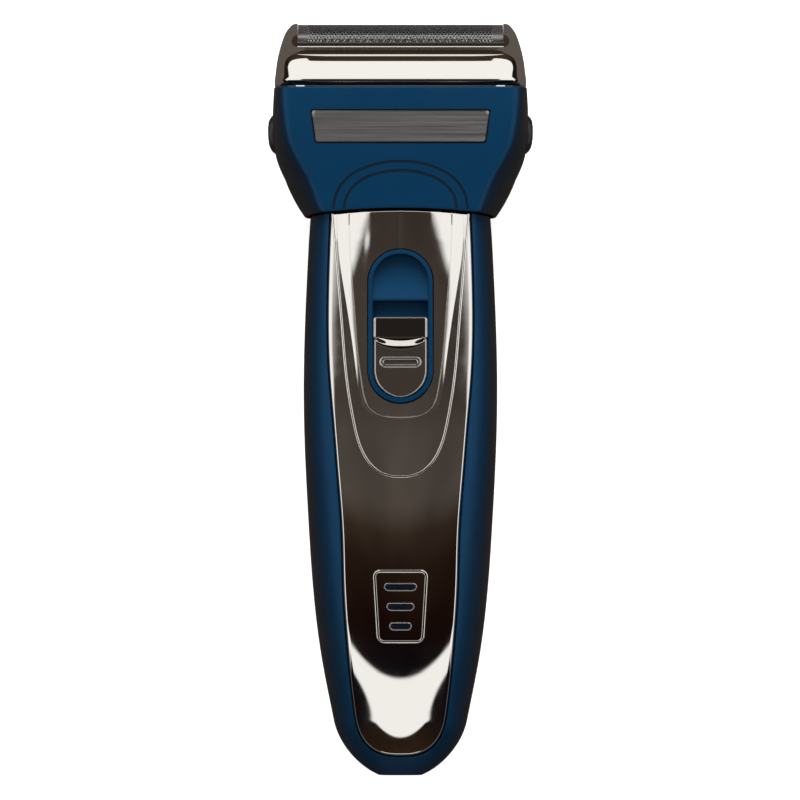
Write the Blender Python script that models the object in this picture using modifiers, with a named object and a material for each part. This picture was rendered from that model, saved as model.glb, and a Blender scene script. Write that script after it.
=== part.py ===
"""Rechargeable foil shaver lying on its back.

Frame: X is the width, +Y runs from the charging end to the foil, +Z is the side with the switch.
The origin is under the middle of the shaver, on the surface that it lies on.
Dimensions below are in millimetres; every mesh is built in metres.
"""

import math

import bmesh
import bpy
import numpy as np
from mathutils import Matrix, Vector

MM = 0.001

# ---------------------------------------------------------------- driving dimensions
LENGTH = 160.0
HALF_LENGTH = LENGTH / 2
FIT_GAP = 0.3  # between pieces that are cut to each other
RUN_GAP = 0.15  # between pieces that slide or turn on each other

PARTING_Z = 15.0  # where the two handle shells meet
NECK_Y = 40.3  # top of the handle, at the middle of its front
HEAD_Y = 40.7  # bottom of the head, at the middle of its front
SEAM_CURVE = 0.0035  # the seam between them curves down with the square of x
SEAM_TILT = 0.0375  # and leans down towards the back
HEAD_TOP_Y = 66.4
FRAME_Y = 66.7  # visible lower edge of the foil frame
WALL = 2.0
FRONT_WALL = 3.6  # behind the front panel
HOLLOW_END_Y = -76.2
AXIS_Z = 16.5  # motor, cutter and foil lie on this line

HEAD_ORIGIN = (0, HEAD_Y, AXIS_Z)

# Half widths and front and back lines along Y, joined by smooth splines.
HANDLE_HALF_WIDTH = [
    (-80, 12.0), (-68.3, 14.2), (-55.5, 16.7), (-43, 18.35), (-25, 19.65),
    (-4, 20.55), (8, 20.55), (28, 19.8), (39.5, 19.2),
]
HANDLE_FRONT_Z = [
    (-80, 20.4), (-68.3, 25.4), (-60, 28.6), (-52, 30.9), (-44, 32.5), (-34, 33.7),
    (-20, 34.3), (-5, 34.05), (8, 33.36), (20, 32.7), (30, 32.15), (39.5, 31.63),
]
HANDLE_BACK_Z = [
    (-80, 6.8), (-68.3, 4.2), (-58, 1.6), (-48, -0.2), (-38, -0.8), (-20, -0.9),
    (0, -0.9), (14, -0.7), (26, 0.6), (39.5, 3.2),
]
HANDLE_FRONT_POWER = [(-80, 2.5), (-60, 2.8), (-45, 3.1), (-25, 3.6), (0, 4.1), (39.5, 4.2)]
BACK_POWER = 2.6
END_CAP_Y = -68.3  # where the rounded end begins
END_CAP_LENGTH = 12.6

HEAD_HALF_WIDTH = [
    (39.5, 19.3), (41.6, 21.1), (45, 23.55), (48.5, 25.4), (52, 26.6), (56, 27.1),
    (60, 27.2), (67.3, 26.85),
]
HEAD_FRONT_Z = [(39.5, 31.95), (50, 31.6), (60, 31.1), (67.3, 30.3)]
HEAD_BACK_Z = [(39.5, 3.2), (46, 1.9), (53, 1.2), (60, 1.5), (67.3, 2.7)]
HEAD_BACK_POWER = [(39.5, 3.0), (50, 3.8), (60, 5.2), (67.3, 5.5)]
# Half width of the head's front face, out to the crease where its sides begin to fall away.
HEAD_CREASE = [
    (39.5, 16.0), (41.2, 16.9), (44, 18.1), (47, 19.6), (50, 21.3), (53.6, 23.1), (58.3, 24.2),
    (63, 24.7), (67.3, 24.9),
]
CREASE_ROUND = 1.3
HEAD_CROWN = 0.35
SIDE_FALL = 1.45  # slope of the sides just past the crease
PLATE_Y = (54.6, 61.3)
PLATE_HALF_WIDTH = 18.0  # at its lower edge
PLATE_FLARE = 0.12

FRAME_HALF_WIDTH = [
    (66.7, 26.9), (70, 26.5), (72.5, 26.15), (75, 25.55), (77, 24.9), (78.6, 24.1), (80, 22.9),
]
FRAME_HALF_DEPTH = [
    (66.3, 14.77), (67.8, 14.1), (70, 13.12), (72.3, 12.1), (75, 9.6), (77, 7.9), (78.8, 5.9),
    (80, 3.6),
]
FRAME_POWER = 5.5
FRAME_LIP = 1.15  # height of the bevel around the frame's lower edge
FRAME_LIP_DROP = 0.85
# Steps of the frame's roof, from its front face up to the foil: distance from the axis, height.
ROOF = [
    (20, 72.35), (11.9, 72.35), (11.55, 72.85), (10.3, 73.25), (9.9, 73.5), (9.8, 74.3),
    (9.45, 74.65), (6.6, 74.95), (6.15, 75.1), (6.05, 75.7), (5.7, 75.9), (0, 75.9),
]

PANEL_HALF_WIDTH = [
    (-80, 7.9), (-68, 9.5), (-60.6, 10.4), (-48.2, 11.55), (-38.7, 12.1), (-28.9, 12.35),
    (-14.2, 13.4), (-4.4, 14.2), (5, 15.0), (24, 15.3), (39.5, 14.75),
]
PANEL_END_Y = -75.7
PANEL_ROUND_Y = -65.5  # where its corners begin to close
PANEL_STATIONS = [PANEL_END_Y, -75.5, -75.1, -74.5, -73.6, -72.4, -70.8, -68.8]
PANEL_STATIONS += list(np.linspace(-66.5, NECK_Y - 0.15, 24))
PANEL_PROUD = 0.25
PANEL_THICKNESS = 1.5

SWITCH_Y = 15.55  # middle of the oval switch surround
SWITCH_TILT = math.atan(0.055)  # the front line falls towards the head
SURROUND_RADIUS = 6.85
SURROUND_HALF = 16.3
CHANNEL_RADIUS = 5.85
CHANNEL_TOP = 5.45  # in the switch frame, as are the next lines
SLIDER_RADIUS = 5.65
SLIDER_BOTTOM = -15.0
SLIDER_TOP = 1.85
SLIDER_BASE_Z = -2.5  # underside of the slider, on the channel's floor
CAP_RIDGE_Y = -2.4
GRIP_Y = -7.65

CHARGE_BARS = [(-39.7, 3.45), (-43.9, 2.9), (-48.05, 2.35)]  # centre, half length
BAR_HALF_HEIGHT = 0.75

FOIL_RADIUS = 4.3
FOIL_THICKNESS = 0.2
FOIL_HALF = 21.55
FOIL_CENTRE_Y = 75.5
HORN_INNER = 21.9
BLADE_RADIUS = FOIL_RADIUS - FOIL_THICKNESS - RUN_GAP
BLADE_HALF = 16.6
BLADE_COUNT = 20

BUTTON_Y = 56.55
BUTTON_HALF_Y = 4.45
BUTTON_HALF_Z = 3.3
BUTTON_FACE_X = 28.2
BUTTON_ROOT_X = 23.2

MOTOR_RADIUS = 10.0
MOTOR_FLAT = 7.5
MOTOR_Y = (9.0, 33.0)
SHAFT_RADIUS = 1.0
CAM_OFFSET = 1.0
BATTERY_RADIUS = 7.1
BATTERY_Y = (-61.0, -10.5)
BATTERY_Z = 12.0
BOARD_Z = (25.4, 26.6)
SOCKET_RADIUS = 2.1
SOCKET_Z = 14.5
SOCKET_FACE_Y = -79.7
SCREWS = [(-12.6, -2.5), (12.6, -2.5), (-11.2, -49.0), (11.2, -49.0)]


# ---------------------------------------------------------------- profiles
def spline(points):
    """A natural cubic spline through the points, as a function."""
    x, y = np.array(points, float).T
    h = np.diff(x)
    n = len(x)
    system = np.eye(n)
    slopes = np.zeros(n)
    for i in range(1, n - 1):
        system[i, i - 1:i + 2] = h[i - 1], 2 * (h[i - 1] + h[i]), h[i]
        slopes[i] = 6 * ((y[i + 1] - y[i]) / h[i] - (y[i] - y[i - 1]) / h[i - 1])
    second = np.linalg.solve(system, slopes)

    def at(value):
        i = int(np.clip(np.searchsorted(x, value) - 1, 0, n - 2))
        left, right = value - x[i], x[i + 1] - value
        cubic = (second[i] * right**3 + second[i + 1] * left**3) / (6 * h[i])
        line = (y[i] / h[i] - second[i] * h[i] / 6) * right
        return cubic + line + (y[i + 1] / h[i] - second[i + 1] * h[i] / 6) * left

    return at


handle_half_width = spline(HANDLE_HALF_WIDTH)
handle_front = spline(HANDLE_FRONT_Z)
handle_back = spline(HANDLE_BACK_Z)
handle_power = spline(HANDLE_FRONT_POWER)
head_half_width = spline(HEAD_HALF_WIDTH)
head_front = spline(HEAD_FRONT_Z)
head_back = spline(HEAD_BACK_Z)
head_crease = spline(HEAD_CREASE)
head_back_power = spline(HEAD_BACK_POWER)
frame_half_width = spline(FRAME_HALF_WIDTH)
frame_half_depth = spline(FRAME_HALF_DEPTH)
panel_base_width = spline(PANEL_HALF_WIDTH)


def end_cap(y):
    """How far the handle's end has closed at y, from 1 down."""
    t = max(0.0, END_CAP_Y - y) / END_CAP_LENGTH
    return math.sqrt(1 - t * t)


def quarter(t, power):
    """A superellipse's (across, up) at angle t, for one of its four quarters."""
    c, s = math.cos(t), math.sin(t)
    across = math.copysign(abs(c) ** (2 / power), c)
    return across, abs(s) ** (2 / power)


def handle_surface(x, y):
    """Height of the front shell's outer surface."""
    share = min(1.0, abs(x) / (handle_half_width(y) * end_cap(y)))
    power = handle_power(y)
    rise = (handle_front(y) - PARTING_Z) * end_cap(y)
    return PARTING_Z + rise * (1 - share**power) ** (1 / power)


def head_surface(x, y):
    """Height of the head's front face, inside its crease."""
    return head_front(y) - HEAD_CROWN * (x / head_crease(y)) ** 2


def seam_shift(x, y, z):
    """How far along Y the neck seam's curve moves a point; it fades away from the seam."""
    fade = max(0.0, 1 - abs(y - NECK_Y) / 6.5)
    return fade * (SEAM_TILT * (z - 31) - SEAM_CURVE * x * x)


def panel_half_width(y):
    t = max(0.0, (PANEL_ROUND_Y - y) / (PANEL_ROUND_Y - PANEL_END_Y))
    return panel_base_width(y) * max(0.0, 1 - t**3) ** (1 / 2.6)


def panel_surface(x, y):
    """The panel's crown meets the shell a little proud of it at both sides."""
    edge = max(panel_half_width(y), 1.0)
    middle = handle_surface(0, y) + PANEL_PROUD
    drop = middle - handle_surface(edge, y) - PANEL_PROUD
    return middle - drop * (x / edge) ** 2


# ---------------------------------------------------------------- scene and materials
for old in list(bpy.data.objects):
    bpy.data.objects.remove(old)

shaver = bpy.data.collections.new("shaver")
helpers = bpy.data.collections.new("cutters")
bpy.context.scene.collection.children.link(shaver)
bpy.context.scene.collection.children.link(helpers)


def material(name, color, roughness, metallic=0.0):
    made = bpy.data.materials.new(name)
    made.use_nodes = True
    shader = made.node_tree.nodes["Principled BSDF"]
    shader.inputs["Base Color"].default_value = (*color, 1)
    shader.inputs["Roughness"].default_value = roughness
    shader.inputs["Metallic"].default_value = metallic
    return made


BLUE = material("satin_blue", (0.006, 0.045, 0.11), 0.38)
CHROME = material("dark_chrome", (0.62, 0.6, 0.58), 0.06, 1.0)
STEEL = material("foil_steel", (0.72, 0.73, 0.74), 0.22, 1.0)
ALUMINIUM = material("brushed_aluminium", (0.5, 0.5, 0.5), 0.38, 1.0)
BLACK = material("black_plastic", (0.012, 0.012, 0.013), 0.35)
LENS = material("smoked_lens", (0.01, 0.03, 0.06), 0.12)
WHITE = material("white_nylon", (0.75, 0.75, 0.72), 0.45)
BOARD = material("board_green", (0.02, 0.16, 0.06), 0.4)
CAN = material("motor_can", (0.6, 0.6, 0.58), 0.3, 1.0)
WRAP = material("battery_wrap", (0.05, 0.3, 0.12), 0.3)
NICKEL = material("nickel_strip", (0.66, 0.62, 0.55), 0.25, 1.0)
BRASS = material("brass", (0.78, 0.57, 0.25), 0.3, 1.0)
RUBBER = material("black_rubber", (0.02, 0.02, 0.02), 0.8)
LAMP = material("lamp_blue", (0.1, 0.3, 0.8), 0.2)


# ---------------------------------------------------------------- modelling tools
def add(name, mesh, finish):
    obj = bpy.data.objects.new(name, mesh)
    shaver.objects.link(obj)
    if finish:
        mesh.materials.append(finish)
    return obj


def from_bmesh(name, bm, finish):
    bmesh.ops.recalc_face_normals(bm, faces=bm.faces)
    bmesh.ops.scale(bm, vec=(MM, MM, MM), verts=bm.verts)
    mesh = bpy.data.meshes.new(name)
    bm.to_mesh(mesh)
    bm.free()
    mesh.shade_smooth()
    mesh.set_sharp_from_angle(angle=math.radians(35))
    return add(name, mesh, finish)


def loft(name, rings, finish=None):
    """A closed body through rings of equally many points."""
    bm = bmesh.new()
    loops = [[bm.verts.new(p) for p in ring] for ring in rings]
    count = len(loops[0])
    for low, high in zip(loops, loops[1:]):
        for i in range(count):
            j = (i + 1) % count
            bm.faces.new((low[i], low[j], high[j], high[i]))
    bm.faces.new(loops[0])
    bm.faces.new(loops[-1])
    return from_bmesh(name, bm, finish)


def along_seam(rings):
    return [[(x, y + seam_shift(x, y, z), z) for x, y, z in ring] for ring in rings]


def slab(name, stations, half_width, top, bottom, across, finish=None, bent=False):
    """A sheet between two surfaces over |x| <= half_width(y), one row of points a station."""
    shares = np.linspace(-1, 1, across + 1)
    rings = []
    for y in stations:
        xs = shares * max(half_width(y), 0.05)
        upper = [(x, y, top(x, y)) for x in xs]
        lower = [(x, y, bottom(x, y)) for x in reversed(xs)]
        rings.append(upper + lower)
    return loft(name, along_seam(rings) if bent else rings, finish)


def prism(name, outline, low, high, finish=None, plane="XY"):
    """An outline pushed straight from low to high: XY along Z, YZ along X, XZ along Y."""
    place = {
        "XY": lambda a, b, c: (a, b, c),
        "YZ": lambda a, b, c: (c, a, b),
        "XZ": lambda a, b, c: (a, c, b),
    }[plane]
    return loft(name, [[place(a, b, c) for a, b in outline] for c in (low, high)], finish)


def box(name, x, y, z, finish=None):
    """A box from (low, high) pairs."""
    bm = bmesh.new()
    bmesh.ops.create_cube(bm, size=1)
    size = Vector((x[1] - x[0], y[1] - y[0], z[1] - z[0]))
    bmesh.ops.scale(bm, vec=size, verts=bm.verts)
    middle = Vector((sum(x) / 2, sum(y) / 2, sum(z) / 2))
    bmesh.ops.translate(bm, vec=middle, verts=bm.verts)
    return from_bmesh(name, bm, finish)


TURNS = {
    "X": Matrix.Rotation(math.pi / 2, 3, "Y"),
    "Y": Matrix.Rotation(-math.pi / 2, 3, "X"),
    "Z": Matrix.Identity(3),
}


def rod(name, centre, radius, low, high, finish=None, along="Y", sides=24):
    """A cylinder along one axis; centre gives its two other coordinates."""
    bm = bmesh.new()
    bmesh.ops.create_cone(
        bm, cap_ends=True, segments=sides, radius1=radius, radius2=radius, depth=high - low,
    )
    bmesh.ops.rotate(bm, matrix=TURNS[along], verts=bm.verts)
    middle = (low + high) / 2
    a, b = centre
    spot = {"X": (middle, a, b), "Y": (a, middle, b), "Z": (a, b, middle)}[along]
    bmesh.ops.translate(bm, vec=spot, verts=bm.verts)
    return from_bmesh(name, bm, finish)


def set_origin(point, *objects):
    """Put the objects' origins on a point of the axis that they move along or turn about."""
    for obj in objects:
        obj.data.transform(Matrix.Translation(-Vector(point) * MM))
        obj.location = Vector(point) * MM


def helper(obj):
    shaver.objects.unlink(obj)
    helpers.objects.link(obj)
    obj.hide_render = True
    obj.display_type = "WIRE"
    return obj


def boolean(obj, operation, *others):
    for other in others:
        step = obj.modifiers.new(other.name, "BOOLEAN")
        step.operation = operation
        step.object = other if other.name in helpers.objects else helper(other)
    return obj


def cut(obj, *others):
    return boolean(obj, "DIFFERENCE", *others)


def join(obj, *others):
    return boolean(obj, "UNION", *others)


def round_edges(obj, width):
    step = obj.modifiers.new("rounded_edges", "BEVEL")
    step.width = width * MM
    step.segments = 2
    step.limit_method = "ANGLE"
    step.angle_limit = math.radians(40)


def oval(a, b, steps=24, power=2.0):
    """A superellipse outline with half sizes a and b."""
    points = []
    for i in range(steps):
        t = 2 * math.pi * i / steps
        c, s = math.cos(t), math.sin(t)
        points.append((
            a * math.copysign(abs(c) ** (2 / power), c),
            b * math.copysign(abs(s) ** (2 / power), s),
        ))
    return points


def stadium(radius, low, high, steps=10, square_top=None):
    """An upright slot outline from low to high. square_top gives its top corners that radius."""
    points = [
        (radius * math.cos(t), low + radius + radius * math.sin(t))
        for t in np.linspace(math.pi, 2 * math.pi, steps + 1)
    ]
    if square_top is None:
        return points + [
            (radius * math.cos(t), high - radius + radius * math.sin(t))
            for t in np.linspace(0, math.pi, steps + 1)
        ]
    r = square_top
    for side, start in ((1, 0.0), (-1, math.pi / 2)):
        points += [
            (side * (radius - r) + r * math.cos(t), high - r + r * math.sin(t))
            for t in np.linspace(start, start + math.pi / 2, 4)
        ]
    return points


def surround_outline(gap):
    """The switch surround's outline in the shaver's own frame, with a gap around it."""
    outline = stadium(SURROUND_RADIUS + gap, -SURROUND_HALF - 0.2, SURROUND_HALF + 0.2)
    return [(x, y + SWITCH_Y) for x, y in outline]


def pill(centre_y, half_length, half_height, steps=6):
    """A lying slot outline in XY."""
    reach = half_length - half_height
    ends = ((reach, -math.pi / 2), (-reach, math.pi / 2))
    return [
        (x + half_height * math.cos(t), centre_y + half_height * math.sin(t))
        for x, start in ends
        for t in np.linspace(start, start + math.pi, steps + 1)
    ]


def coil(name, start, along, length, radius, wire, turns, finish):
    """A compression spring drawn as a round wire."""
    data = bpy.data.curves.new(name, "CURVE")
    data.dimensions = "3D"
    data.bevel_depth = wire * MM
    data.bevel_resolution = 1
    data.use_fill_caps = True
    steps = turns * 10
    path = data.splines.new("POLY")
    path.points.add(steps)
    frame = TURNS[along]
    for i in range(steps + 1):
        t = 2 * math.pi * i / 10
        local = Vector((radius * math.cos(t), radius * math.sin(t), length * i / steps))
        path.points[i].co = (*(MM * (frame @ local + Vector(start))), 1)
    data.materials.append(finish)
    obj = bpy.data.objects.new(name, data)
    shaver.objects.link(obj)
    return obj


# ---------------------------------------------------------------- handle shells
def cap_stations(first, last, count):
    """Stations that crowd towards the rounded end, then run evenly up the handle."""
    angles = np.linspace(math.asin((END_CAP_Y - first) / END_CAP_LENGTH), 0, 7)
    crowded = [END_CAP_Y - END_CAP_LENGTH * math.sin(t) for t in angles]
    return crowded + list(np.linspace(END_CAP_Y, last, count))[1:]


def handle_half(front, inset, deep, first, last, count, arc, base):
    """Rings of one half of the handle, closed along the parting plane at height base."""
    rings = []
    for y in cap_stations(first, last, count):
        shrink = end_cap(y)
        across = handle_half_width(y) * shrink - inset
        line = handle_front(y) if front else handle_back(y)
        up = (line - PARTING_Z) * shrink
        up -= math.copysign(deep, up)
        power = handle_power(y) if front else BACK_POWER
        ring = []
        for t in np.linspace(0, math.pi, arc + 1):
            x, z = quarter(t, power)
            height = PARTING_Z + up * z
            ring.append((across * x, y, max(height, base) if front else min(height, base)))
        if not front and inset == 0:
            ring = [(x, y_, max(z, 0.0)) for x, y_, z in ring]
        rings.append(ring)
    return along_seam(rings)


def open_section(name, front):
    """The hollow of one handle half, reaching past the parting plane and the neck."""
    deep = FRONT_WALL if front else WALL
    rings = handle_half(front, WALL, deep, HOLLOW_END_Y, NECK_Y + 3, 12, 16, PARTING_Z)
    past = -0.6 if front else 0.6
    return loft(name, [
        [(x, y, z + past if abs(z - PARTING_Z) < 1e-6 else z) for x, y, z in ring]
        for ring in rings
    ])


def socket_hole(name):
    return rod(name, (0, SOCKET_Z), SOCKET_RADIUS + FIT_GAP, -90, -70, sides=20)


def make_front_shell():
    rings = handle_half(True, 0, 0, -HALF_LENGTH, NECK_Y, 22, 22, PARTING_Z + FIT_GAP / 2)
    shell = loft("front_shell", rings, BLUE)
    recess = slab(
        "panel_recess", [y - FIT_GAP for y in PANEL_STATIONS] + [NECK_Y + 2],
        lambda y: panel_half_width(y + FIT_GAP) + FIT_GAP, lambda x, y: 45.0,
        lambda x, y: panel_surface(x, y) - PANEL_THICKNESS - 1.2 * FIT_GAP, 10, bent=True,
    )
    window = prism("surround_hole", surround_outline(FIT_GAP), 20, 45)
    guide = box("guide_hole", (-4.6, 4.6), (-51.2, -36.6), (24, 45))
    hollow = open_section("front_hollow", True)
    cut(shell, hollow, recess, window, guide, socket_hole("socket_cut_a"))
    for i, (x, y) in enumerate(SCREWS):
        share = abs(x) / (handle_half_width(y) - WALL)
        power = handle_power(y)
        roof = handle_front(y) - FRONT_WALL - PARTING_Z
        top = PARTING_Z + roof * (1 - share**power) ** (1 / power) + 0.6
        post = rod(f"post_{i}", (x, y), 2.4, PARTING_Z + 0.4, top, along="Z", sides=12)
        pilot = rod(f"pilot_{i}", (x, y), 1.25, 10, 22, along="Z", sides=10)
        join(shell, post)
        cut(shell, pilot)
    return shell


def make_rear_shell():
    rings = handle_half(False, 0, 0, -HALF_LENGTH, NECK_Y, 22, 22, PARTING_Z - FIT_GAP / 2)
    shell = loft("rear_shell", rings, BLUE)
    cut(shell, open_section("rear_hollow", False), socket_hole("socket_cut_b"))
    inner_rings = handle_half(False, 0.7, 1.6, -HALF_LENGTH + 0.5, NECK_Y, 14, 18, PARTING_Z)
    sleeve_limit = helper(loft("sleeve_limit", inner_rings))
    for i, (x, y) in enumerate(SCREWS):
        tube = rod(f"sleeve_{i}", (x, y), 3.2, -3, PARTING_Z - 0.4, along="Z", sides=14)
        boolean(tube, "INTERSECT", sleeve_limit)
        trimmed = rod(f"head_hole_{i}", (x, y), 2.45, -3, 5.6, along="Z", sides=14)
        shank = rod(f"shank_hole_{i}", (x, y), 1.4, 4, 20, along="Z", sides=10)
        join(shell, tube)
        cut(shell, trimmed, shank)
    return shell


def make_screws():
    for i, (x, y) in enumerate(SCREWS):
        screw = rod(f"case_screw_{i + 1}", (x, y), 2.1, 4.0, 5.3, NICKEL, "Z", 14)
        join(screw, rod(f"shank_{i}", (x, y), 1.05, 5.0, 20.5, along="Z", sides=10))
        blades = [
            box(f"slot_{i}_{k}", (x - a, x + a), (y - b, y + b), (3.0, 4.6))
            for k, (a, b) in enumerate(((1.3, 0.25), (0.25, 1.3)))
        ]
        cut(screw, *blades)


# ---------------------------------------------------------------- front panel and switch
def make_panel():
    panel = slab("front_panel", PANEL_STATIONS, panel_half_width, panel_surface,
                 lambda x, y: panel_surface(x, y) - PANEL_THICKNESS, 10, CHROME, bent=True)
    window = prism("panel_window", surround_outline(0.2), 20, 45)
    bars = [
        prism(f"bar_hole_{i}", pill(y, half + 0.15, BAR_HALF_HEIGHT + 0.15), 24, 45)
        for i, (y, half) in enumerate(CHARGE_BARS)
    ]
    return cut(panel, window, *bars)


def make_light_guide():
    guide = box("light_guide", (-4.2, 4.2), (-50.8, -37.0), (28.2, 29.2), LENS)
    for i, (y, half) in enumerate(CHARGE_BARS):
        top = panel_surface(0, y) - 0.25
        join(guide, prism(f"bar_{i}", pill(y, half, BAR_HALF_HEIGHT), 28.8, top))
    return guide


switch_frame = bpy.data.objects.new("switch_frame", None)
shaver.objects.link(switch_frame)
SWITCH_Z = handle_surface(0, SWITCH_Y) + PANEL_PROUD
switch_frame.location = Vector((0, SWITCH_Y, SWITCH_Z)) * MM
switch_frame.rotation_euler = (-SWITCH_TILT, 0, 0)


def in_switch_frame(*objects):
    for obj in objects:
        obj.parent = switch_frame


def scoop_depth(x, y):
    """The thumb scoop above the channel: steep under the upper rim, easing out downwards."""
    t = (y - CHANNEL_TOP) / (SURROUND_HALF - 1.0 - CHANNEL_TOP)
    return -0.75 - 1.5 * math.sin(math.pi * min(1, max(0, t)) * 0.62) + 0.006 * x * x


def make_surround():
    surround = prism("switch_surround", stadium(SURROUND_RADIUS, -SURROUND_HALF, SURROUND_HALF),
                     -4.2, 0.15, BLUE)
    channel = prism("channel", stadium(CHANNEL_RADIUS, SLIDER_BOTTOM - 0.25, CHANNEL_TOP,
                                       square_top=0.4), -2.7, 3)
    slot = prism("stem_slot", stadium(2.3, -13.0, -1.0), -6, -2)

    def scoop_width(y):
        centre = SURROUND_HALF - SURROUND_RADIUS
        rise = max(0.0, y - centre)
        return math.sqrt(max(0.0, CHANNEL_RADIUS**2 - rise**2))

    stations = list(np.linspace(CHANNEL_TOP + 0.4, 10, 5)) + list(np.linspace(11, 15.25, 7))
    scoop = slab("thumb_scoop", stations, scoop_width, lambda x, y: 3.0, scoop_depth, 8)
    in_switch_frame(surround, channel, slot, scoop)
    return cut(surround, channel, slot, scoop)


def cap_height(x, y):
    """The chrome cap's top: a ramp up to a thumb edge, a dip behind it, then a level pad."""
    if y > CAP_RIDGE_Y:
        return 0.35 + 0.55 * (SLIDER_TOP - y) / (SLIDER_TOP - CAP_RIDGE_Y)
    dip = (CAP_RIDGE_Y - y) / 2.3
    return 0.05 + (0.85 * (1 + math.cos(math.pi * dip)) / 2 if dip < 1 else 0.0)


def make_switch():
    outline = stadium(SLIDER_RADIUS, SLIDER_BOTTOM, SLIDER_TOP, square_top=0.5)
    base = prism("switch_slider", outline, SLIDER_BASE_Z, -1.0, BLACK)
    stem = prism("stem", stadium(1.9, -12.4, -5.2), -5.6, -2.2)
    in_switch_frame(base, stem)
    join(base, stem)

    def width(y):
        fall = max(0.0, SLIDER_BOTTOM + SLIDER_RADIUS - y)
        return math.sqrt(max(0.0, SLIDER_RADIUS**2 - fall**2))

    stations = [SLIDER_BOTTOM + SLIDER_RADIUS * (1 - math.cos(t))
                for t in np.linspace(0.12, math.pi / 2, 8)]
    stations += [-8.0, -6.0, -4.7, -4.1, -3.5, -2.95, CAP_RIDGE_Y, -1.0, SLIDER_TOP]
    cap = slab("switch_cap", stations, width, cap_height, lambda x, y: -0.9, 6, CHROME)
    pad = prism("grip_bar", pill(GRIP_Y, 3.9, 0.75), -0.5, 0.45)
    in_switch_frame(cap, pad)
    join(cap, pad)
    knob = box("board_switch_knob", (-0.9, 0.9), (-9.9, -7.7), (-6.75, -5.85), BLACK)
    in_switch_frame(knob)


# ---------------------------------------------------------------- inside the handle
def around_axis(half):
    """A (low, high) pair of heights about the line that the motor and the cutter lie on."""
    return AXIS_Z - half, AXIS_Z + half


def out_to(side, near, far):
    """A (low, high) pair of x on the left, side -1, or on the right, side 1."""
    return tuple(sorted((side * near, side * far)))


def make_motor():
    can = rod("motor_can", (0, AXIS_Z), MOTOR_RADIUS, *MOTOR_Y, CAN, sides=32)
    flats = box("motor_flats", (-12, 12), (0, 40), around_axis(MOTOR_FLAT))
    boss = rod("motor_boss", (0, AXIS_Z), 3.0, MOTOR_Y[1] - 1, MOTOR_Y[1] + 1.4, sides=20)
    boolean(can, "INTERSECT", flats)
    join(can, boss)
    hollow = rod("can_hollow", (0, AXIS_Z), MOTOR_RADIUS - WALL, MOTOR_Y[0] + WALL, MOTOR_Y[1] - WALL)
    hollow_flats = box("can_hollow_flats", (-12, 12), (0, 40), around_axis(MOTOR_FLAT - WALL))
    boolean(hollow, "INTERSECT", hollow_flats)
    cut(can, hollow, rod("shaft_way", (0, AXIS_Z), SHAFT_RADIUS + RUN_GAP, 0, 40, sides=16))
    end_y = (6.6, MOTOR_Y[0] - 0.1)
    end = rod("motor_end_cap", (0, AXIS_Z), MOTOR_RADIUS - 0.5, *end_y, WHITE, sides=28)
    trim = box("end_flats", (-12, 12), (0, 12), around_axis(MOTOR_FLAT - 0.4))
    boolean(end, "INTERSECT", trim)
    cut(end, rod("end_way", (0, AXIS_Z), SHAFT_RADIUS + RUN_GAP, 0, 12, sides=16))
    for i, x in enumerate((-6.0, 6.0)):
        box(f"motor_terminal_{i + 1}", (x - 1.2, x + 1.2), (3.4, 6.5), around_axis(0.2), BRASS)


def make_rotor():
    shaft = rod("motor_shaft", (0, AXIS_Z), SHAFT_RADIUS, 5.6, 43.4, CAN, sides=16)
    cam = rod("eccentric_cam", (0, AXIS_Z), 3.2, 39.9, 45.0, WHITE, sides=24)
    cut(cam, rod("cam_bore", (0, AXIS_Z), SHAFT_RADIUS + 0.05, 38, 43.6, sides=16),
        rod("pin_bore", (CAM_OFFSET, AXIS_Z), 0.8, 44.0, 47, sides=12))
    pin = rod("eccentric_pin", (CAM_OFFSET, AXIS_Z), 0.75, 44.05, 50.4, CAN, sides=12)
    set_origin((0, MOTOR_Y[1], AXIS_Z), shaft, cam, pin)


def make_battery():
    cell = rod("battery_cell", (0, BATTERY_Z), BATTERY_RADIUS, *BATTERY_Y, WRAP, sides=28)
    round_edges(cell, 0.6)
    nub_y = (BATTERY_Y[1] + 0.05, BATTERY_Y[1] + 1.2)
    rod("battery_nub", (0, BATTERY_Z), 2.7, *nub_y, NICKEL, sides=18)
    wide = (-2.2, 2.2)
    for name, y, top, foot in (
        ("battery_strip_plus", BATTERY_Y[1] + 1.3, 24.9, (-2.3, 0.3)),
        ("battery_strip_minus", BATTERY_Y[0] - 0.4, 22.4, (0, 2.6)),
    ):
        strip = box(name, wide, (y, y + 0.3), (9.6, top), NICKEL)
        foot_y = (y + foot[0], y + foot[1])
        join(strip, box(name + "_foot", wide, foot_y, (top - 0.3, top + 0.2)))


def make_chassis():
    chassis = box("inner_chassis", (-8.4, 8.4), (-57.5, 5.8), (22.4, 24.0), BLACK)
    for i, y in enumerate((-40.0, -21.0)):
        join(chassis, box(f"saddle_{i}", (-8.4, 8.4), (y, y + 2), (11.0, 23.0)))
    room = BATTERY_RADIUS + 0.25
    cradle = rod("battery_bed", (0, BATTERY_Z), room, -70, -7.6, sides=28)
    mouth = box("battery_mouth", (-room, room), (-70, -7.6), (5, BATTERY_Z))
    strip_slot = box("strip_slot", (-2.6, 2.6), (-9.7, -8.3), (10, 30))
    terminals = box("terminal_slot", (-8, 8), (3.0, 9), (20, 30))
    return cut(chassis, cradle, mouth, strip_slot, terminals)


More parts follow.
